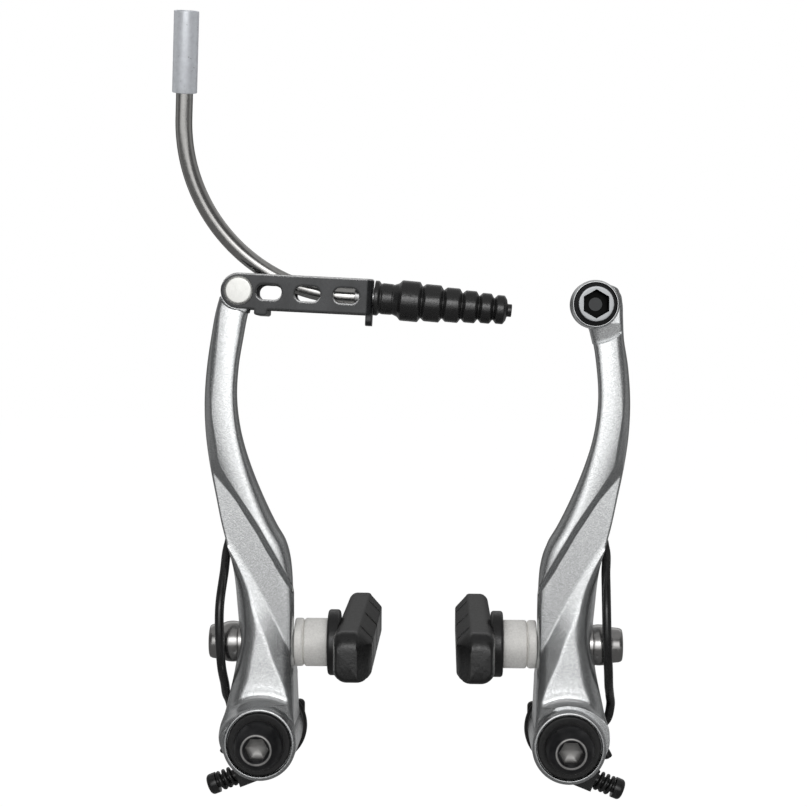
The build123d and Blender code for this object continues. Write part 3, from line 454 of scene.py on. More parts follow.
def flowing(points, steps):
    """Smooth path through points, with the same number of steps in each span."""
    p = np.asarray(points, float)
    knots = np.concatenate([[0], np.cumsum(np.linalg.norm(np.diff(p, axis=0), axis=1))])
    at = np.concatenate([np.linspace(a, b, steps, endpoint=False) for a, b in zip(knots[:-1], knots[1:])])
    at = np.append(at, knots[-1])
    return np.stack([through(at, np.stack([knots, p[:, k]], axis=1)) for k in range(3)], axis=1)


def carried(path, radius, reference, sides=20):
    """Round section carried along a path. Its first direction is square to the path and to the reference."""
    tangent = np.gradient(path, axis=0)
    tangent /= np.linalg.norm(tangent, axis=1, keepdims=True)
    first = np.cross(tangent, np.asarray(reference, float))
    first /= np.linalg.norm(first, axis=1, keepdims=True)
    second = np.cross(tangent, first)
    angle = np.linspace(0, 2 * np.pi, sides, endpoint=False)
    ring = np.cos(angle)[None, :, None] * first[:, None] + np.sin(angle)[None, :, None] * second[:, None]
    radius = np.broadcast_to(np.reshape(radius, (-1, 1, 1)), (len(path), 1, 1))
    return path[:, None] + radius * ring, False, True


def rod(path, radius, reference, sides=20, ease=0.25):
    """A wire along a path, with eased cut ends: the section shrinks to a point over a short bevel."""
    first = path[0] - path[1]
    last = path[-1] - path[-2]
    first, last = first / np.linalg.norm(first), last / np.linalg.norm(last)
    bevel = ease * radius
    push = np.array([0.0, 0.6, 1.0, 1.0]) * bevel
    head = path[0] + first * push[::-1, None]
    tail = path[-1] + last * push[:, None]
    whole = np.vstack([head[:-1], path, tail[1:]])
    size = np.concatenate([[0.0, radius - bevel, radius - 0.3 * bevel], np.full(len(path), radius)])
    size = np.concatenate([size, [radius - 0.3 * bevel, radius - bevel, 0.0]])
    return carried(whole, size, reference, sides)


def mirrored(patches):
    """The patches of a left-hand piece reflected in the plane X = 0."""
    return [(grid * np.array([-1.0, 1, 1]), r, c) for grid, r, c in patches]


# Forged arms

# stations (z, u) of the two edges, from the flare up
OUTER = [
    (7, -9.2), (14, -7.4), (24, -6.15), (33.5, -6.9), (42, -7.8), (46.5, -8.8), (50.5, -9.9),
    (58.3, -11.55), (66, -13.1), (74, -14.25), (81.7, -14.6), (89.5, -14.1), (97, -13.0),
]
INNER = [
    (7, 7.6), (14, 7.5), (24, 7.4), (33.5, 7.35), (39, 7.2), (42, 6.9), (46.5, 5.7), (50.5, 3.4),
    (58.3, -0.4), (66, -3.45), (74, -5.7), (81.7, -6.65), (89.5, -6.3), (97, -5.1),
]
LEFT_HEAD = [(102.3, -12.0), (107.9, -10.5)], [(102.3, -4.1), (107.9, -2.3)]
RIGHT_HEAD = (
    [(102, -12.7), (105.5, -12.5), (107.8, -11.9), (109.5, -10.2), (110.4, -6.6)],
    [(99.5, -4.3), (102, -2.5), (105.5, -1.5), (107.8, -2.4), (109.5, -3.8), (110.4, -5.4)],
)
# stations (u, z) of the foot and the top of the step, which crosses the arm
STEP_FOOT = [
    (-14, 66.0), (-12, 64.0), (-9.4, 61.0), (-6.9, 57.9), (-4.4, 54.0), (-1.6, 49.7), (0.8, 45.5),
    (3.6, 41.0), (6.4, 36.4), (8, 33.8),
]
STEP_TOP = [
    (-14, 72.5), (-11.4, 67.4), (-9.6, 64.2), (-7.2, 60.5), (-4.6, 56.7), (-1.8, 52.5), (1.1, 47.6),
    (3.2, 44.0), (6.9, 37.6), (8, 35.6),
]
# stations by z: where the raised body is highest, how much it is crowned, and its height
CREST = [
    (34, 5.0), (42, 3.6), (47, 1.6), (55, -2.6), (62, -5.2), (70, -7.4), (80, -8.8), (95, -8.0), (104, -7.4),
]
CROWN = [(34, 0.9), (50, 1.0), (60, 0.75), (72, 0.4), (90, 0.3), (104, 0.3)]
RAISED = [(30, 8.7), (40, 9.2), (60, 8.8), (75, 8.15), (90, 7.3), (104, 6.3)]
# slope of the twisted facet along its crease, and stations (z, depth) of the hollow flare
FACET = [
    (-0.3, 0.18), (0, 0.19), (0.28, 0.21), (0.5, 0.25), (0.7, 0.34), (0.8, 0.38), (1.0, 0.43), (1.23, 0.47),
    (1.6, 0.55),
]
FLARE = [
    (-6, 14.6), (4, 14.5), (7.4, 14.2), (8.2, 13.5), (8.7, 12.1), (9.15, 10.6), (9.7, 9.6), (10.6, 9.0),
    (12.5, 8.6), (15, 8.3), (19.2, 7.95), (25, 7.5), (29, 7.25), (33, 7.1), (40, 7.0), (47, 7.0), (60, 7.6),
]
# stations by z of the radius at the two edges
OUTER_ROUND = [
    (4, 4.5), (14, 4.6), (20, 4.7), (25, 5.2), (30, 5.5), (34.5, 5.8), (40, 4.2), (44, 2.4), (47, 0.7),
    (50, 0.6), (60, 0.6), (66, 0.8), (74, 1.6), (80, 2.3), (92, 2.5), (98, 2.0), (102, 1.5), (112, 1.4),
]
INNER_ROUND = [
    (4, 1.5), (20, 1.9), (34, 2.1), (42, 3.0), (48, 3.0), (60, 2.3), (70, 1.7), (85, 1.4), (95, 1.7),
    (102, 1.9), (112, 0.7),
]
# the crease between panel and facet: its ends, its bow, and the length that counts as a run of 1
CREASE_START = np.array([-8.2, 47.3])
CREASE_END = np.array([6.0, 21.7])
CREASE_BOW = 0.7
CREASE_RUN = 30.0
# the slope up to the raised body from its outer edge: levels, and its width at each
SHOULDER = [72, 95], [2.4, 0.9]
# the inner rounding, wider than it is deep, and the level from which the outer one turns soft
INNER_WIDTH = 1.4
SOFT_FROM, SOFT_OVER = 64, 12
# the flare: how its sides rise, where it ends, and the fan of sections that carries it to the barrel
FLARE_DISH = 0.045
FLARE_END = 46.0
FAN_TOP = 14.0
FAN_OUTER, FAN_INNER = -7.4, 7.5
FAN_RADIUS = 8.45
FAN_START, FAN_STOP = 215, -28
# the back of the arm and of its fan
BACK = -6.5
FAN_BACK = -6.0
# the heads: half the thickness of the tongue, and the radii of the lip below the link and of the recess
TONGUE_HALF = 3.3
LIP = 4.75
RECESS = 9.3
# steps of the fan, of a rounding, and of the front between two roundings
fan = np.linspace(0, 1, 46)[1:]
bow = np.linspace(0, np.pi / 2, 20)
middle = np.linspace(0, 1, 56)[1:-1]
round_in, round_down = 1 - np.cos(bow), 1 - np.sin(bow)
# a softer edge: a slow fall, with a quarter-round over the last third
last_third = np.clip((0.35 - round_in) / 0.35, 0, 1)
soft_down = 0.3 * (1 - round_in) ** 2 + 0.7 * (1 - np.sqrt(1 - last_third**2))


def arm_front(u, z, outer, roll):
    """Height of the arm's front, from the place in the arm's plane. Below, it is the higher of the flat
    panel and the twisted facet, cut off by the hollow flare, which falls by roll to the outer edge. Above
    the step the raised body stands on that, and there the roll takes off the edge of the whole."""
    rise = (z - through(u, STEP_FOOT)) / (through(u, STEP_TOP) - through(u, STEP_FOOT))
    rise = lower(rise, (u - outer) / np.interp(z, *SHOULDER) + 0.05, 0.2)
    rise = lower(higher(rise, 0, 0.14), 1, 0.2)
    width = 0.5 * np.maximum(through(z, INNER) - through(z, OUTER), 4.0)
    top = through(z, RAISED) - through(z, CROWN) * ((u - through(z, CREST)) / width) ** 2
    along = (CREASE_END - CREASE_START) / np.linalg.norm(CREASE_END - CREASE_START)
    run = ((u - CREASE_START[0]) * along[0] + (z - CREASE_START[1]) * along[1]) / CREASE_RUN
    off = (u - CREASE_START[0]) * along[1] - (z - CREASE_START[1]) * along[0]
    off = off + 4 * CREASE_BOW * np.clip(run, 0, 1) * (1 - np.clip(run, 0, 1))
    facet = higher(PANEL, PANEL + off * through(run, FACET), 0.12)
    above = np.clip((z - FLARE_END) / 2.0, 0, 1)
    flare = through(z + FLARE_DISH * u**2, FLARE) - roll * (1 - above)
    return lower(facet, flare, 0.2) + (top - PANEL) * rise - roll * above


def arm_edges(left):
    """Levels of the arm's sections from the top down, with the outer and the inner edge at each. The
    levels lie closer together at the head."""
    head = LEFT_HEAD if left else RIGHT_HEAD
    if left:
        crown = PIN[1] + TONGUE * np.sin(np.linspace(0, 0.5 * np.pi, 14))
        spans = [np.arange(FAN_TOP, 101.2, 0.4), np.arange(101.2, 107.9, 0.12), crown]
    else:
        spans = [np.arange(FAN_TOP, 93.2, 0.4), np.arange(93.2, 101.2, 0.1), np.arange(101.2, 109, 0.4)]
        spans.append(np.linspace(109, 110.4, 10))
    z = np.concatenate(spans)[::-1]
    outer, inner = through(z, OUTER + head[0]), through(z, INNER + head[1])
    if left:
        reach = np.sqrt(np.maximum(TONGUE**2 - (z - PIN[1]) ** 2, 0))
        outer = np.where(z > PIN[1], PIN[0] - reach, outer)
        inner = np.where(z > PIN[1], PIN[0] + reach, inner)
    return z, outer, inner


def flare_fan(share):
    """Places of the fanned sections below the level ones: a Coons patch between the level line, an arc on
    the barrel and the two edges of the flare."""
    outer_points = [(FAN_OUTER, FAN_TOP, 0), (-8.9, 7, 0), (-9.8, 2.5, 0)]
    outer_points += [(-9.6, -0.7, 0), (-8.5, -3.1, 0), (-6.92, -4.85, 0)]
    outer_line = flowing(outer_points, 12)
    at = np.linspace(0, 1, len(outer_line))
    outer_line = np.stack([np.interp(fan, at, outer_line[:, k]) for k in range(2)], axis=1)
    drop = FAN_TOP - 18 * fan
    inner_stations = [(-4, 7.46), (0, 8.0), (7, 7.8), (FAN_TOP, FAN_INNER)]
    inner_line = np.stack([through(drop, inner_stations), drop], axis=1)
    down = fan[:, None, None]
    turn = np.radians(FAN_START + (FAN_STOP - FAN_START) * share)
    line = np.stack([FAN_OUTER + (FAN_INNER - FAN_OUTER) * share, np.full(share.shape, FAN_TOP)], axis=-1)
    arc = FAN_RADIUS * np.stack([np.cos(turn), np.sin(turn)], axis=-1)
    flat = (1 - down) * line + down * arc
    ends = np.radians([FAN_START, FAN_STOP])
    corners = FAN_RADIUS * np.stack([np.cos(ends), np.sin(ends)], axis=1)
    at_outer = (1 - fan)[:, None] * np.array([FAN_OUTER, FAN_TOP]) + fan[:, None] * corners[0]
    at_inner = (1 - fan)[:, None] * np.array([FAN_INNER, FAN_TOP]) + fan[:, None] * corners[1]
    flat += (1 - share)[..., None] * (outer_line - at_outer)[:, None]
    return flat + share[..., None] * (inner_line - at_inner)[:, None]


def left_head(front, back, u, v):
    """Heights of the left head. From a round lip below the link on, front and back step in to the tongue
    between the link's plates."""
    bowl = PIN[1] - np.sqrt(np.maximum(LIP**2 - (u - PIN[0]) ** 2, 0))
    limit = np.where(u < PIN[0], bowl, PIN[1] - LIP - 0.33 * (u - PIN[0]))
    neck = np.clip((v - limit) / 0.15, 0, 1)
    return front + (TONGUE_HALF - front) * neck, back + (-TONGUE_HALF - back) * neck


def right_head(front, back, u, v, edge_line):
    """Heights of the right head. The front is cut down to a sloping floor round the cable anchor, its
    outer edge falls by a quarter-round beside that, and the back steps in."""
    reach = np.hypot(u - ANCHOR[0], v - ANCHOR[1])
    recess = 4.7 + 0.17 * (np.clip(v, 94, 100.5) - 96)
    front = lower(front, recess + 6 * np.clip((reach - RECESS) / 0.5, 0, 1), 0.12)
    edge = np.clip(1 - (u - edge_line) / 1.2, 0, 1)
    front = front - 1.1 * (1 - np.sqrt(1 - edge**2)) * np.clip((v - 93) / 4.0, 0, 1)
    return front, back + 2.0 * np.clip((v - 98) / 2.0, 0, 1)


def arm_patches(left):
    """Closed sections stacked along the arm. Above the flare each section lies level between the outer
    and inner edges; below it the sections fan out to end on the barrel. In a section the front follows
    arm_front less a rounding at each edge, and the flat back is drawn in a little at its edges. The
    barrel, and the boss of the right arm, are turned profiles."""
    z, outer, inner = arm_edges(left)
    height = np.concatenate([z, FAN_TOP - 8 * fan])
    fan_width = np.full(len(fan), FAN_INNER - FAN_OUTER)
    across = np.maximum(np.concatenate([inner - outer, fan_width]), 0.02)
    edge_line = np.concatenate([outer, np.full(len(fan), FAN_OUTER)])[:, None]
    outer_round, inner_round = through(height, OUTER_ROUND), through(height, INNER_ROUND)
    squeeze = np.minimum(1.0, 0.7 * across / (outer_round + INNER_WIDTH * inner_round))
    outer_round, inner_round = (outer_round * squeeze)[:, None], (inner_round * squeeze)[:, None]
    whole, inner_start = across[:, None], across[:, None] - INNER_WIDTH * inner_round
    outer_part = outer_round * round_in
    middle_part = outer_round + (inner_start - outer_round) * middle
    inner_part = whole - INNER_WIDTH * inner_round * round_in[::-1]
    share = np.hstack([outer_part, middle_part, inner_part]) / whole
    level_u = outer[:, None] + (inner - outer)[:, None] * share[: len(z)]
    level = np.stack([level_u, np.broadcast_to(z[:, None], level_u.shape)], axis=-1)
    plan = np.vstack([level, flare_fan(share[len(z) :])])
    u, v = plan[..., 0], plan[..., 1]
    flat = np.zeros((len(u), len(middle) + len(bow)))
    soft = np.clip((height - SOFT_FROM) / SOFT_OVER, 0, 1)[:, None]
    roll = np.hstack([outer_round * (round_down + (soft_down - round_down) * soft), flat])
    front = arm_front(u, v, edge_line, roll)
    back = np.where(height < FAN_TOP - 0.1, FAN_BACK, BACK)[:, None] + np.zeros_like(front)
    if left:
        front, back = left_head(front, back, u, v)
    else:
        front, back = right_head(front, back, u, v, edge_line)
    front = front - np.hstack([flat, inner_round * soft_down[::-1]])
    small = np.minimum(outer_round, 1.0)
    back = back + np.hstack([small * round_down, flat[:, len(bow) :], small * round_down[::-1]])
    draft = np.clip((height - FAN_TOP) / 12, 0, 1)[:, None] * np.minimum(1, across / 6)[:, None]
    drawn = u + draft * (0.6 * (1 - share) - 1.2 * share)
    face, rear = np.stack([u, -front, v], axis=-1), np.stack([drawn, -back, v], axis=-1)
    section = np.concatenate([face, rear[:, ::-1]], axis=1)
    barrel = eased(
        [
            (-6.0, 6.05), (-6.0, 8.8), (13.5, 8.8), (14.0, 8.3), (14.0, 7.8), (12.2, 7.8), (12.2, 6.05),
            (-6.0, 6.05),
        ],
        [0.4, 0.5, 0.4, 0.12, 0.1, 0.1],
    )
    ends = [(np.stack([face[k], rear[k]]) + pivot, False, False) for k in (0, -1)]
    patches = [(section + pivot, False, True), *ends, turned(barrel, pivot, FRONT)]
    if not left:
        boss = eased(
            [
                (-5.5, 3.05), (-5.5, 4.6), (4.5, 5.8), (8.9, 5.8), (10.0, 5.4), (10.0, 5.2), (8.1, 5.2),
                (8.1, 3.05), (-5.5, 3.05),
            ],
            [0.4, 0.5, 0.6, 0.3, 0.05, 0.1, 0.1],
        )
        patches.append(turned(boss, (-PIVOT + ANCHOR[0], 0, ANCHOR[1]), FRONT))
    return patches


piece("left_arm_forging", arm_patches(True), SILVER, "left_arm", ["left_arm"], 50)
piece("right_arm_forging", mirrored(arm_patches(False)), SILVER, "right_arm", ["right_arm"], 50)


# Turned pieces of the two sides


def both(name, patches, finish, body, crease=40):
    """A left-hand piece and its mirrored twin. body may hold {} for the side."""
    for side, made in (("left", patches), ("right", mirrored(patches))):
        piece(f"{side}_{name}_made", made, finish, body.format(side), [f"{side}_{name}"], crease)


def round_part(profile):
    """Profile of a part that is round all over, with an empty share of hexagon."""
    return np.hstack([profile, np.zeros((len(profile), 1))])


washer = eased(
    [(12.5, 3.3), (12.5, 7.5), (13.75, 7.5), (14.0, 7.2), (13.9, 5.9), (13.9, 3.3), (12.5, 3.3)], 0.15
)
both("pivot_washer", [turned(washer, pivot, FRONT)], PLASTIC, "pivots")

bolt = eased(
    [
        (-4.0, 0), (-4.0, 2.2), (-3.5, 2.675), (12.0, 2.675), (12.0, 3.0), (14.0, 3.0), (14.0, 5.8),
        (16.8, 5.8), (18.9, 5.0), (20.1, 3.9), (20.2, 3.4),
    ],
    [0.2, 0.2, 0.1, 0.1, 0.1, 0.2, 0.9, 1.2, 0.25],
    7,
)
bolt_socket = [
    (20.05, 3.1, 0.3), (19.7, 2.62, 1), (19.2, 2.5, 1), (16.6, 2.5, 1), (16.5, 2.4, 1), (16.2, 1.4, 0),
    (16.0, 0, 0),
]
bolt = np.vstack([round_part(bolt), bolt_socket])
both("pivot_bolt", [turned(bolt, pivot, FRONT, 120)], BLACK_BOLT, "pivots", 35)

dome = eased(
    [(7.4, 3.3), (7.4, 5.85), (9.2, 5.85), (9.6, 5.35), (10.8, 3.3), (7.4, 3.3)], [0.5, 0.55, 0.3, 0.2]
)
both("inner_dome", [turned(dome, stud, INWARD)], BLASTED, "{}_arm")

cup = eased(
    [(10.85, 3.3), (9.65, 5.3), (10.0, 5.85), (15.45, 5.85), (15.45, 3.3), (10.85, 3.3)], [0.2, 0.4, 0.3, 0.2]
)
both("inner_cup", [turned(cup, stud, INWARD)], BLASTED, "{}_arm")

nut = eased(
    [
        (-6.2, 3.05), (-6.2, 4.75), (-7.6, 5.0), (-9.2, 4.9), (-10.6, 4.35), (-12.8, 4.15), (-13.5, 3.8),
        (-13.5, 3.1),
    ],
    [0.3, 0.8, 0.9, 0.8, 0.6, 0.4],
)
nut_socket = [(-13.2, 2.6, 1), (-12.9, 2.5, 1), (-10.3, 2.5, 1), (-10.2, 2.4, 1), (-9.9, 0.0, 0)]
nut = np.vstack([round_part(nut), nut_socket])
both("pad_nut", [turned(nut, stud, INWARD, 120)], BRIGHT_STEEL, "{}_arm", 35)


# Brake pads

PAD_FRONT, PAD_REAR = -24, 47
FRONT_ROUND, REAR_ROUND = 4.0, 0.8
TOE = 3.2
SLOTS = np.array([[-10.5], [11.5], [33.5]])
SLOT_HALF = 1.5
SLOT_DEPTH = 2.4


def pad_patches():
    """Section of the bar, with eased corners, carried along Y. At each end the section draws in by
    quarter-rounds, large ones at the front, and closes to a point; the toe bevel and the slots cut the
    braking face back to a limit that depends on Y. The round base is a turned profile."""
    outline = eased(
        [
            (PAD_BACK, 0), (PAD_BACK, -4.2), (PAD_BACK + 2.0, -6), (PAD_FACE - 2.4, -6), (PAD_FACE, -4.5),
            (PAD_FACE, 2.6), (PAD_FACE - 3.4, 6), (PAD_BACK + 1.4, 6), (PAD_BACK, 4.6), (PAD_BACK, 0),
        ],
        [1.2, 1.2, 1.0, 0.9, 0.5, 0.5, 0.9, 0.9],
    )[:-1]
    centre = np.array([PAD_BACK + 4.2, 0.0])
    arc = np.linspace(0, np.pi / 2, 9)
    # a pair of sections at each side of a slot makes its walls
    walls = np.array([-0.02, 0.02])
    steps = np.hstack([SLOTS - SLOT_HALF + walls, SLOTS + SLOT_HALF + walls]).ravel()
    run = np.sort(np.concatenate([np.linspace(-19.5, 45.5, 40), steps]))
    first = PAD_FRONT + FRONT_ROUND * (1 - np.cos(arc))
    last = PAD_REAR - REAR_ROUND * (1 - np.cos(arc[::-1]))
    y = np.concatenate([first, run, last])
    none = np.zeros(len(run))
    at_front = np.concatenate([1 - np.sin(arc), none, 0 * arc])[:, None]
    at_back = np.concatenate([0 * arc, none, 1 - np.sin(arc[::-1])])[:, None]
    offset = outline - centre
    above = np.where(offset[:, 1] > 0, FRONT_ROUND, 1.5)
    inwards = offset[:, 0] * (1 - (1.2 * at_front + REAR_ROUND * at_back) / 4.6)
    upwards = offset[:, 1] * (1 - (above * at_front + REAR_ROUND * at_back) / 6.0)
    section = centre + np.stack([inwards, upwards], axis=-1)
    limit = np.interp(y, [PAD_FRONT, -18, 44, PAD_REAR], PAD_FACE - TOE * np.array([1, 0, 0, 1]))
    limit = limit - SLOT_DEPTH * (np.abs(y - SLOTS) < SLOT_HALF).any(axis=0)
    section[..., 0] = np.minimum(section[..., 0], limit[:, None])
    depth = np.broadcast_to(y[:, None], section.shape[:2])
    bar = np.stack([section[..., 0] - PIVOT, depth, section[..., 1] + STUD_Z], axis=-1)
    poles = [np.broadcast_to(bar[k].mean(axis=0), bar[k].shape) for k in (0, -1)]
    bar = np.concatenate([poles[0][None], bar, poles[1][None]])
    base = eased(
        [(15.5, 3.3), (15.5, 7.6), (15.9, 8.0), (18.0, 8.0), (18.4, 7.6), (18.6, 3.3), (15.5, 3.3)],
        [0.2, 0.3, 0.3, 0.2, 0.2],
    )
    return [(bar, False, True), turned(base, stud, INWARD)]


both("pad", pad_patches(), PAD_RUBBER, "{}_arm", 38)


# Springs

COIL_RADIUS = 8.55
SPRING_WIRE = 1.1
SCREW_RADIUS = 2.05
SCREW_WIRE = 0.48
SCREW_TURNS = 3.2

# the right leg of a return spring is the straighter one
turn = np.radians(30 * np.arange(13))
climb = 10.2 - 2.4 * np.arange(13) / 12
coil = np.stack([-PIVOT - COIL_RADIUS * np.cos(turn), climb, COIL_RADIUS * np.sin(turn)], axis=1)
tail = [(-48.2, 10.2, -7.4), (-46.3, 10.2, -3.5)]
leg = [
    (-46.4, 7.4, 6.0), (-46.75, 4.2, 8.4), (-46.6, -0.6, 12.0), (-46.8, -5.3, 17.0), (-47.1, -6.75, 23.5),
    (-47.2, -6.35, 31.3), (-46.6, -2.6, 39.5), (-46.2, 2.3, 45.9), (-45.4, 3.5, 48.5), (-42.6, 3.5, 48.5),
]
straight_leg = [
    (-47.6, 7.8, 2.6), (-48.3, 6.6, 6.2), (-47.8, 3.4, 9.4), (-47.1, -1.2, 12.6), (-46.6, -5.0, 17.0),
    (-46.1, -6.75, 23.5), (-45.9, -6.35, 31.3), (-46.0, -2.6, 39.5), (-46.2, 2.3, 45.9), (-45.4, 3.5, 48.5),
    (-42.6, 3.5, 48.5),
]
bowed, straight = [
    [rod(flowing(np.vstack([tail, coil, upper]), 10), SPRING_WIRE, (0, 1, 0.02), 20)]
    for upper in (leg, straight_leg)
]

# the small spring of a tension screw is squeezed between the holder and the screw's head
screw_start = np.array([-44.55, 9.75, -12.8])
screw_axis = np.array([-0.92718, 0, -0.37461])
screw_side = np.array([-0.37461, 0, 0.92718])
twist = np.linspace(0, 2 * np.pi * SCREW_TURNS, 160)[:, None]
screw_coil = SCREW_RADIUS * (np.cos(twist) * screw_side + np.sin(twist) * np.array([0, 1, 0]))
screw_coil = screw_start + screw_coil + np.linspace(0.5, 4.9, 160)[:, None] * screw_axis
screw_spring = [rod(screw_coil, SCREW_WIRE, screw_axis, 12)]

hands = {
    "left": (1, bowed, screw_spring),
    "right": (-1, mirrored(straight), mirrored(screw_spring)),
}
for side, (sign, long_wire, short_wire) in hands.items():
    wire = piece(f"{side}_spring_wire", long_wire, WIRE, None, [f"{side}_return_spring"])
    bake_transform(wire)
    wire = piece(f"{side}_screw_coil", short_wire, WIRE, None, [f"{side}_screw_spring"])
    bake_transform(wire)


# Link, lead pipe and boot

TILT = math.radians(2.5)
LEAN = math.radians(14.0)
BOOT_TILT = math.radians(5.0)
LINK_REACH = 32.3
BEND = 40.5
along = np.array([math.cos(TILT), 0, -math.sin(TILT)])
upright = np.array([math.sin(TILT), 0, math.cos(TILT)])
leaning = upright * math.cos(LEAN) + np.array([0, -math.sin(LEAN), 0])
end_wall = np.array([PIN[0] - PIVOT, 0, PIN[1]]) + LINK_REACH * along
sweep = np.radians(np.linspace(0, 91.0, 90))
bend = np.stack([-6.1 - BEND * np.sin(sweep), BEND * (1 - np.cos(sweep))], axis=1)
tip = np.array([-math.cos(sweep[-1]), math.sin(sweep[-1])])
pipe_line = np.vstack([[(-2.5, 0)], bend, bend[-1] + tip * 10.0])
pipe_line = end_wall + pipe_line[:, :1] * along + pipe_line[:, 1:] * leaning
across_bend = np.cross(along, leaning)
outside = carried(pipe_line, 2.0, across_bend, 32)
inside = carried(pipe_line, 1.3, across_bend, 32)
rims = [(np.stack([outside[0][k], inside[0][k]]), False, True) for k in (0, -1)]
piece("lead_pipe_tube", [outside, inside, *rims], PIPE_STEEL, "lead", ["lead_pipe"])

mouth_axis = pipe_line[-1] - pipe_line[-2]
ferrule = eased(
    [
        (-4, 2.02), (-4, 2.94), (14.96, 2.94), (14.96, 2.55), (3.05, 2.55), (3.0, 1.0), (0.05, 1.0),
        (0.04, 2.02), (-4, 2.02),
    ],
    [0.25, 0.25, 0.12, 0.1, 0.05, 0.02, 0.02],
)
ferrule = turned(ferrule, pipe_line[-1], mouth_axis, 64)
piece("ferrule_tube", [ferrule], FERRULE_METAL, "lead", ["pipe_ferrule"])

nose = eased(
    [
        (-4.4, 2.02), (-4.4, 2.9), (-1.7, 2.9), (-1.7, 2.5), (1.2, 2.5), (4.0, 1.9), (4.0, 1.0), (-2.4, 1.0),
        (-2.42, 2.02), (-4.4, 2.02),
    ],
    0.15,
)
piece("nose_sleeve", [turned(nose, end_wall, along, 64)], PLAIN_STEEL, "lead", ["pipe_nose"])

# each ring of the boot has a bevel on both sides, and the grooves between them are vees
ring = np.arange(6)
groove = 6.1 + np.concatenate([[0], np.cumsum(5.8 * 0.89**ring)])
crest = 4.93 - 0.415 * ring + 0.026 * ring**2
floor_radius = np.concatenate([[4.1], crest[:-1] - 1.0, [1.55]])
rings = np.stack(
    [
        np.stack([groove[:-1] + 0.08, floor_radius[:-1]], axis=1),
        np.stack([groove[:-1] + 0.8, crest], axis=1),
        np.stack([groove[1:] - 0.75, crest], axis=1),
        np.stack([groove[1:] - 0.08, crest - 1.0], axis=1),
    ],
    axis=1,
).reshape(-1, 2)
end = groove[-1]
boot = eased(
    np.vstack(
        [
            [(0.3, 2.8), (0.3, 4.25), (1.3, 4.25), (1.8, 3.55)],
            [(2.3, 3.8), (4.6, 3.75), (4.9, 3.6), (5.3, 3.75)],
            rings,
            [(end + 0.1, 1.55), (end + 1.2, 1.55), (end + 1.2, 0.9), (end - 1.0, 0.9), (end - 1.6, 1.8)],
            [(6.1, 2.8), (0.3, 2.8)],
        ]
    ),
    0.22,
)
boot_axis = (math.cos(BOOT_TILT), 0, -math.sin(BOOT_TILT))
boot = turned(boot, end_wall, boot_axis, 96)
piece("rubber_boot", [boot], BOOT_RUBBER, "lead", ["boot"], 32)

rivet = eased(
    [
        (-5.6, 0), (-5.6, 3.0), (-5.35, 3.55), (-5.0, 3.55), (-5.0, 2.5), (5.0, 2.5), (5.0, 3.55),
        (5.35, 3.55), (5.6, 3.0), (5.6, 0),
    ],
    0.2,
)
rivet = turned(rivet, (PIN[0] - PIVOT, 0, PIN[1]), FRONT, 72)
piece("rivet_heads", [rivet], RIVET_STEEL, "link", ["link_rivet"])


# Cable anchor

boss = (PIVOT - ANCHOR[0], 0, ANCHOR[1])
ring_washer = eased([(8.1, 3.05), (8.1, 5.15), (9.4, 5.15), (9.4, 3.05), (8.1, 3.05)], 0.15)
ring_washer = turned(ring_washer, boss, FRONT, 72)
piece("cable_washer_ring", [ring_washer], BLACK_STEEL, "right_arm", ["cable_washer"])

anchor = eased(
    [(-5.5, 0), (-5.5, 3.0), (9.4, 3.0), (9.4, 4.2), (11.8, 4.2), (11.8, 3.6)], [0.3, 0.1, 0.1, 0.15]
)
anchor_socket = [
    (11.8, 3.0, 1), (11.65, 2.92, 1), (11.4, 2.9, 1), (8.7, 2.9, 1), (8.6, 2.8, 1), (8.6, 1.7, 0),
    (8.8, 1.6, 0), (8.8, 0, 0),
]
anchor = turned(np.vstack([round_part(anchor), anchor_socket]), boss, FRONT, 120, math.radians(30))
piece("cable_bolt_head", [anchor], ANCHOR_BOLT, "right_arm", ["cable_bolt"], 35)


# Finishes of the CAD pieces that stay, with the width of their eased edges

KEPT = {
    "sleeve": (PLAIN_STEEL, 0),
    "spring_holder": (PLASTIC, 0.25),
    "anchor_pin": (PLAIN_STEEL, 0),
    "tension_screw": (WIRE, 0.3),
    "pad_stud": (PLAIN_STEEL, 0),
    "outer_dome": (BRIGHT_STEEL, 0),
    "outer_cup": (BRIGHT_STEEL, 0),
    "link": (PLATE, 0),
    "pipe_liner": (LINER, 0),
}
for name, node in nodes.items():
    plain = name.removeprefix("left_").removeprefix("right_")
    if plain in KEPT:
        finish, ease = KEPT[plain]
        node.data.materials.clear()
        node.data.materials.append(finish)
        if ease:
            weld = node.modifiers.new("weld", "WELD")
            weld.merge_threshold = 1e-6
            edge = node.modifiers.new("edge", "BEVEL")
            edge.width = ease * 0.001
            edge.segments = 4
            edge.limit_method = "ANGLE"
            edge.angle_limit = math.radians(40)
            flat = node.modifiers.new("flat", "WEIGHTED_NORMAL")
            flat.weight = 100


# Studio

FLOOR_LEVEL = -0.12
CARD_LEVEL = -0.118
CEILING_LEVEL = 1.3


def shown_in_reflections(name, points, faces, finish):
    """A card or wall of the studio: seen in reflections, and not by the camera or by soft light."""
    mesh = bpy.data.meshes.new(name)
    mesh.from_pydata(points, [], faces)
    mesh.materials.append(finish)
    made = bpy.data.objects.new(name, mesh)
    made.visible_camera = False
    made.visible_diffuse = False
    made.visible_shadow = False
    made.visible_transmission = False
    bpy.context.scene.collection.objects.link(made)


def glowing(name):
    """A finish that only gives light. Its Emission Color is set by what uses it."""
    black = (0.0, 0.0, 0.0, 1.0)
    return Finish(name, Base_Color=black, Roughness=1.0, Specular_IOR_Level=0.0, Emission_Strength=1.0)


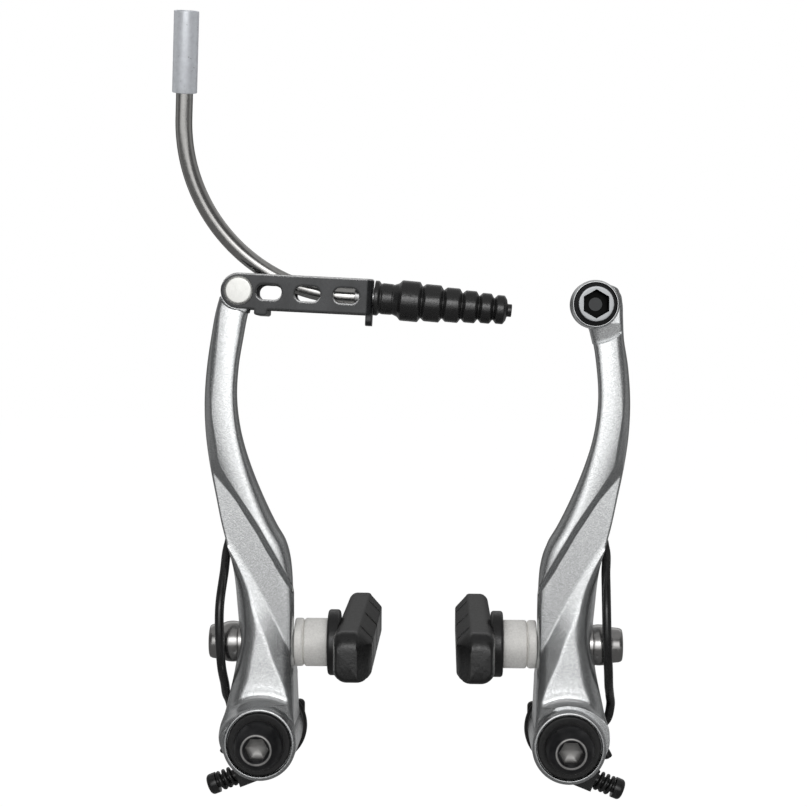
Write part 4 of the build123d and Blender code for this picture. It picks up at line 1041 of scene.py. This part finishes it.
def studio_wall():
    """Round wall about the set: points on a circle at even heights. In front it is a bright screen that
    fades up and down. It is dark beside that, a little paler at its sides, and its back is pale only
    higher up."""
    turn = np.radians(np.arange(0, 360, 5))
    height = np.linspace(FLOOR_LEVEL, 1.5, 10)
    ring = 1.2 * np.stack([np.cos(turn), np.sin(turn)], axis=1)
    points = np.concatenate(
        [np.tile(ring, (len(height), 1)), np.repeat(height, len(ring))[:, None]], axis=1
    )
    index = np.arange(len(points)).reshape(len(height), len(ring))
    after = np.roll(index, -1, axis=1)
    faces = np.stack([index[:-1], after[:-1], after[1:], index[1:]], axis=-1).reshape(-1, 4)
    f = glowing("studio_wall")
    away = f.node("ShaderNodeMath", {"operation": "ARCTAN2"}, {0: f.axis("X"), 1: f.axis("Y") * -1.0})
    front = f.span(abs(away), 1, 0, math.radians(15), math.radians(31))
    beside = f.span(abs(away), 0, 0.14, math.radians(70), math.radians(95))
    beside = beside * f.span(abs(away), 1, 0.2, math.radians(115), math.radians(140))
    behind = f.span(abs(away), 0, 1, math.radians(120), math.radians(150))
    up = f.axis("Z")
    screen = f.span(up, 0.5, 1.75, -0.08, 0.2) * f.span(up, 1, 0.15, 0.5, 0.85)
    f.set(Emission_Color=0.08 + front * screen + beside + behind * f.span(up, 0, 0.5, 0.3, 0.65))
    shown_in_reflections("studio_wall", points, faces.tolist(), f.material)


def card(name, near, far, level, tone):
    """A level card between two corners, with an even glow."""
    corners = [near, (far[0], near[1]), far, (near[0], far[1])]
    points = [(x, y, level) for x, y in corners]
    f = glowing(name)
    f.set(Emission_Color=(tone, tone, tone, 1))
    shown_in_reflections(name, points, [(0, 1, 2, 3)], f.material)


def lamp(name, place, target, size, energy, mirrored_in_metal=True):
    """A soft lamp that faces its target. It may be kept out of reflections."""
    light = bpy.data.lights.new(name, "AREA")
    light.shape = "RECTANGLE"
    light.size, light.size_y = size
    light.energy = energy
    made = bpy.data.objects.new(name, light)
    made.visible_glossy = mirrored_in_metal
    made.location = place
    made.rotation_euler = (Vector(target) - Vector(place)).to_track_quat("-Z", "Y").to_euler()
    bpy.context.scene.collection.objects.link(made)


def floor():
    """Pale floor: mostly a white glow to the camera and in reflections, with a little of its own shading so
    that a faint shadow stays."""
    mesh = bpy.data.meshes.new("floor")
    points = [(x, y, FLOOR_LEVEL) for x, y in ((-6, -6), (6, -6), (6, 6), (-6, 6))]
    mesh.from_pydata(points, [], [(0, 1, 2, 3)])
    f = Finish("floor_white", Roughness=1.0, Specular_IOR_Level=0.0, Emission_Strength=1.0)
    rays = ("Is Camera Ray", "Is Glossy Ray", "Is Transmission Ray")
    first, second, third = [f.node("ShaderNodeLightPath", out=ray) for ray in rays]
    seen = f.span(first + second + third, 0, 1, 0, 1)
    f.set(Base_Color=0.85 - 0.75 * seen, Emission_Color=0.94 * seen)
    mesh.materials.append(f.material)
    made = bpy.data.objects.new("floor", mesh)
    bpy.context.scene.collection.objects.link(made)


def surroundings():
    """White to the camera, to reflections and through clear things; plain grey light for the rest."""
    world = bpy.data.worlds.new("studio")
    bpy.context.scene.world = world
    world.use_nodes = True
    tree = world.node_tree
    tree.nodes.clear()
    path = tree.nodes.new("ShaderNodeLightPath")
    first = tree.nodes.new("ShaderNodeMath")
    first.operation = "MAXIMUM"
    second = tree.nodes.new("ShaderNodeMath")
    second.operation = "MAXIMUM"
    tree.links.new(path.outputs["Is Camera Ray"], first.inputs[0])
    tree.links.new(path.outputs["Is Glossy Ray"], first.inputs[1])
    tree.links.new(first.outputs[0], second.inputs[0])
    tree.links.new(path.outputs["Is Transmission Ray"], second.inputs[1])
    grey = tree.nodes.new("ShaderNodeBackground")
    grey.inputs["Color"].default_value = (0.62, 0.62, 0.63, 1)
    white = tree.nodes.new("ShaderNodeBackground")
    white.inputs["Color"].default_value = (1, 1, 1, 1)
    mix = tree.nodes.new("ShaderNodeMixShader")
    tree.links.new(second.outputs[0], mix.inputs["Fac"])
    tree.links.new(grey.outputs[0], mix.inputs[1])
    tree.links.new(white.outputs[0], mix.inputs[2])
    tree.links.new(mix.outputs[0], tree.nodes.new("ShaderNodeOutputWorld").inputs["Surface"])


floor()
surroundings()
studio_wall()
card("front_card", (-1.25, -1.25), (1.25, -0.65), CARD_LEVEL, 0.7)
card("low_card", (-1.25, -0.65), (1.25, 0.3), CARD_LEVEL, 0.12)
card("rear_card", (-1.25, 0.3), (1.25, 1.25), CARD_LEVEL, 0.35)
card("ceiling_card", (-1.3, -1.3), (1.3, 1.3), CEILING_LEVEL, 0.26)
lamp("top_softbox", (0.0, -0.45, 0.8), (0, 0, 0.06), (1.1, 0.6), 3.5, False)
lamp("front_softbox", (0.0, -1.1, 0.42), (0, 0, 0.06), (0.5, 0.18), 0.7)

camera = bpy.data.cameras.new("camera")
camera.sensor_width = 36.0
camera.lens = 75.49
camera.clip_start = 0.01
camera.clip_end = 20.0
eye = bpy.data.objects.new("camera", camera)
eye.location = (0.0069, -0.41207, 0.09)
ahead = Vector((-0.02476, 1.0, -0.0223)).to_track_quat("-Z", "Y")
eye.rotation_euler = (ahead @ Quaternion((0, 0, 1), math.radians(0.372))).to_euler()
bpy.context.scene.collection.objects.link(eye)
bpy.context.scene.camera = eye
bpy.context.scene.view_settings.view_transform = "Standard"
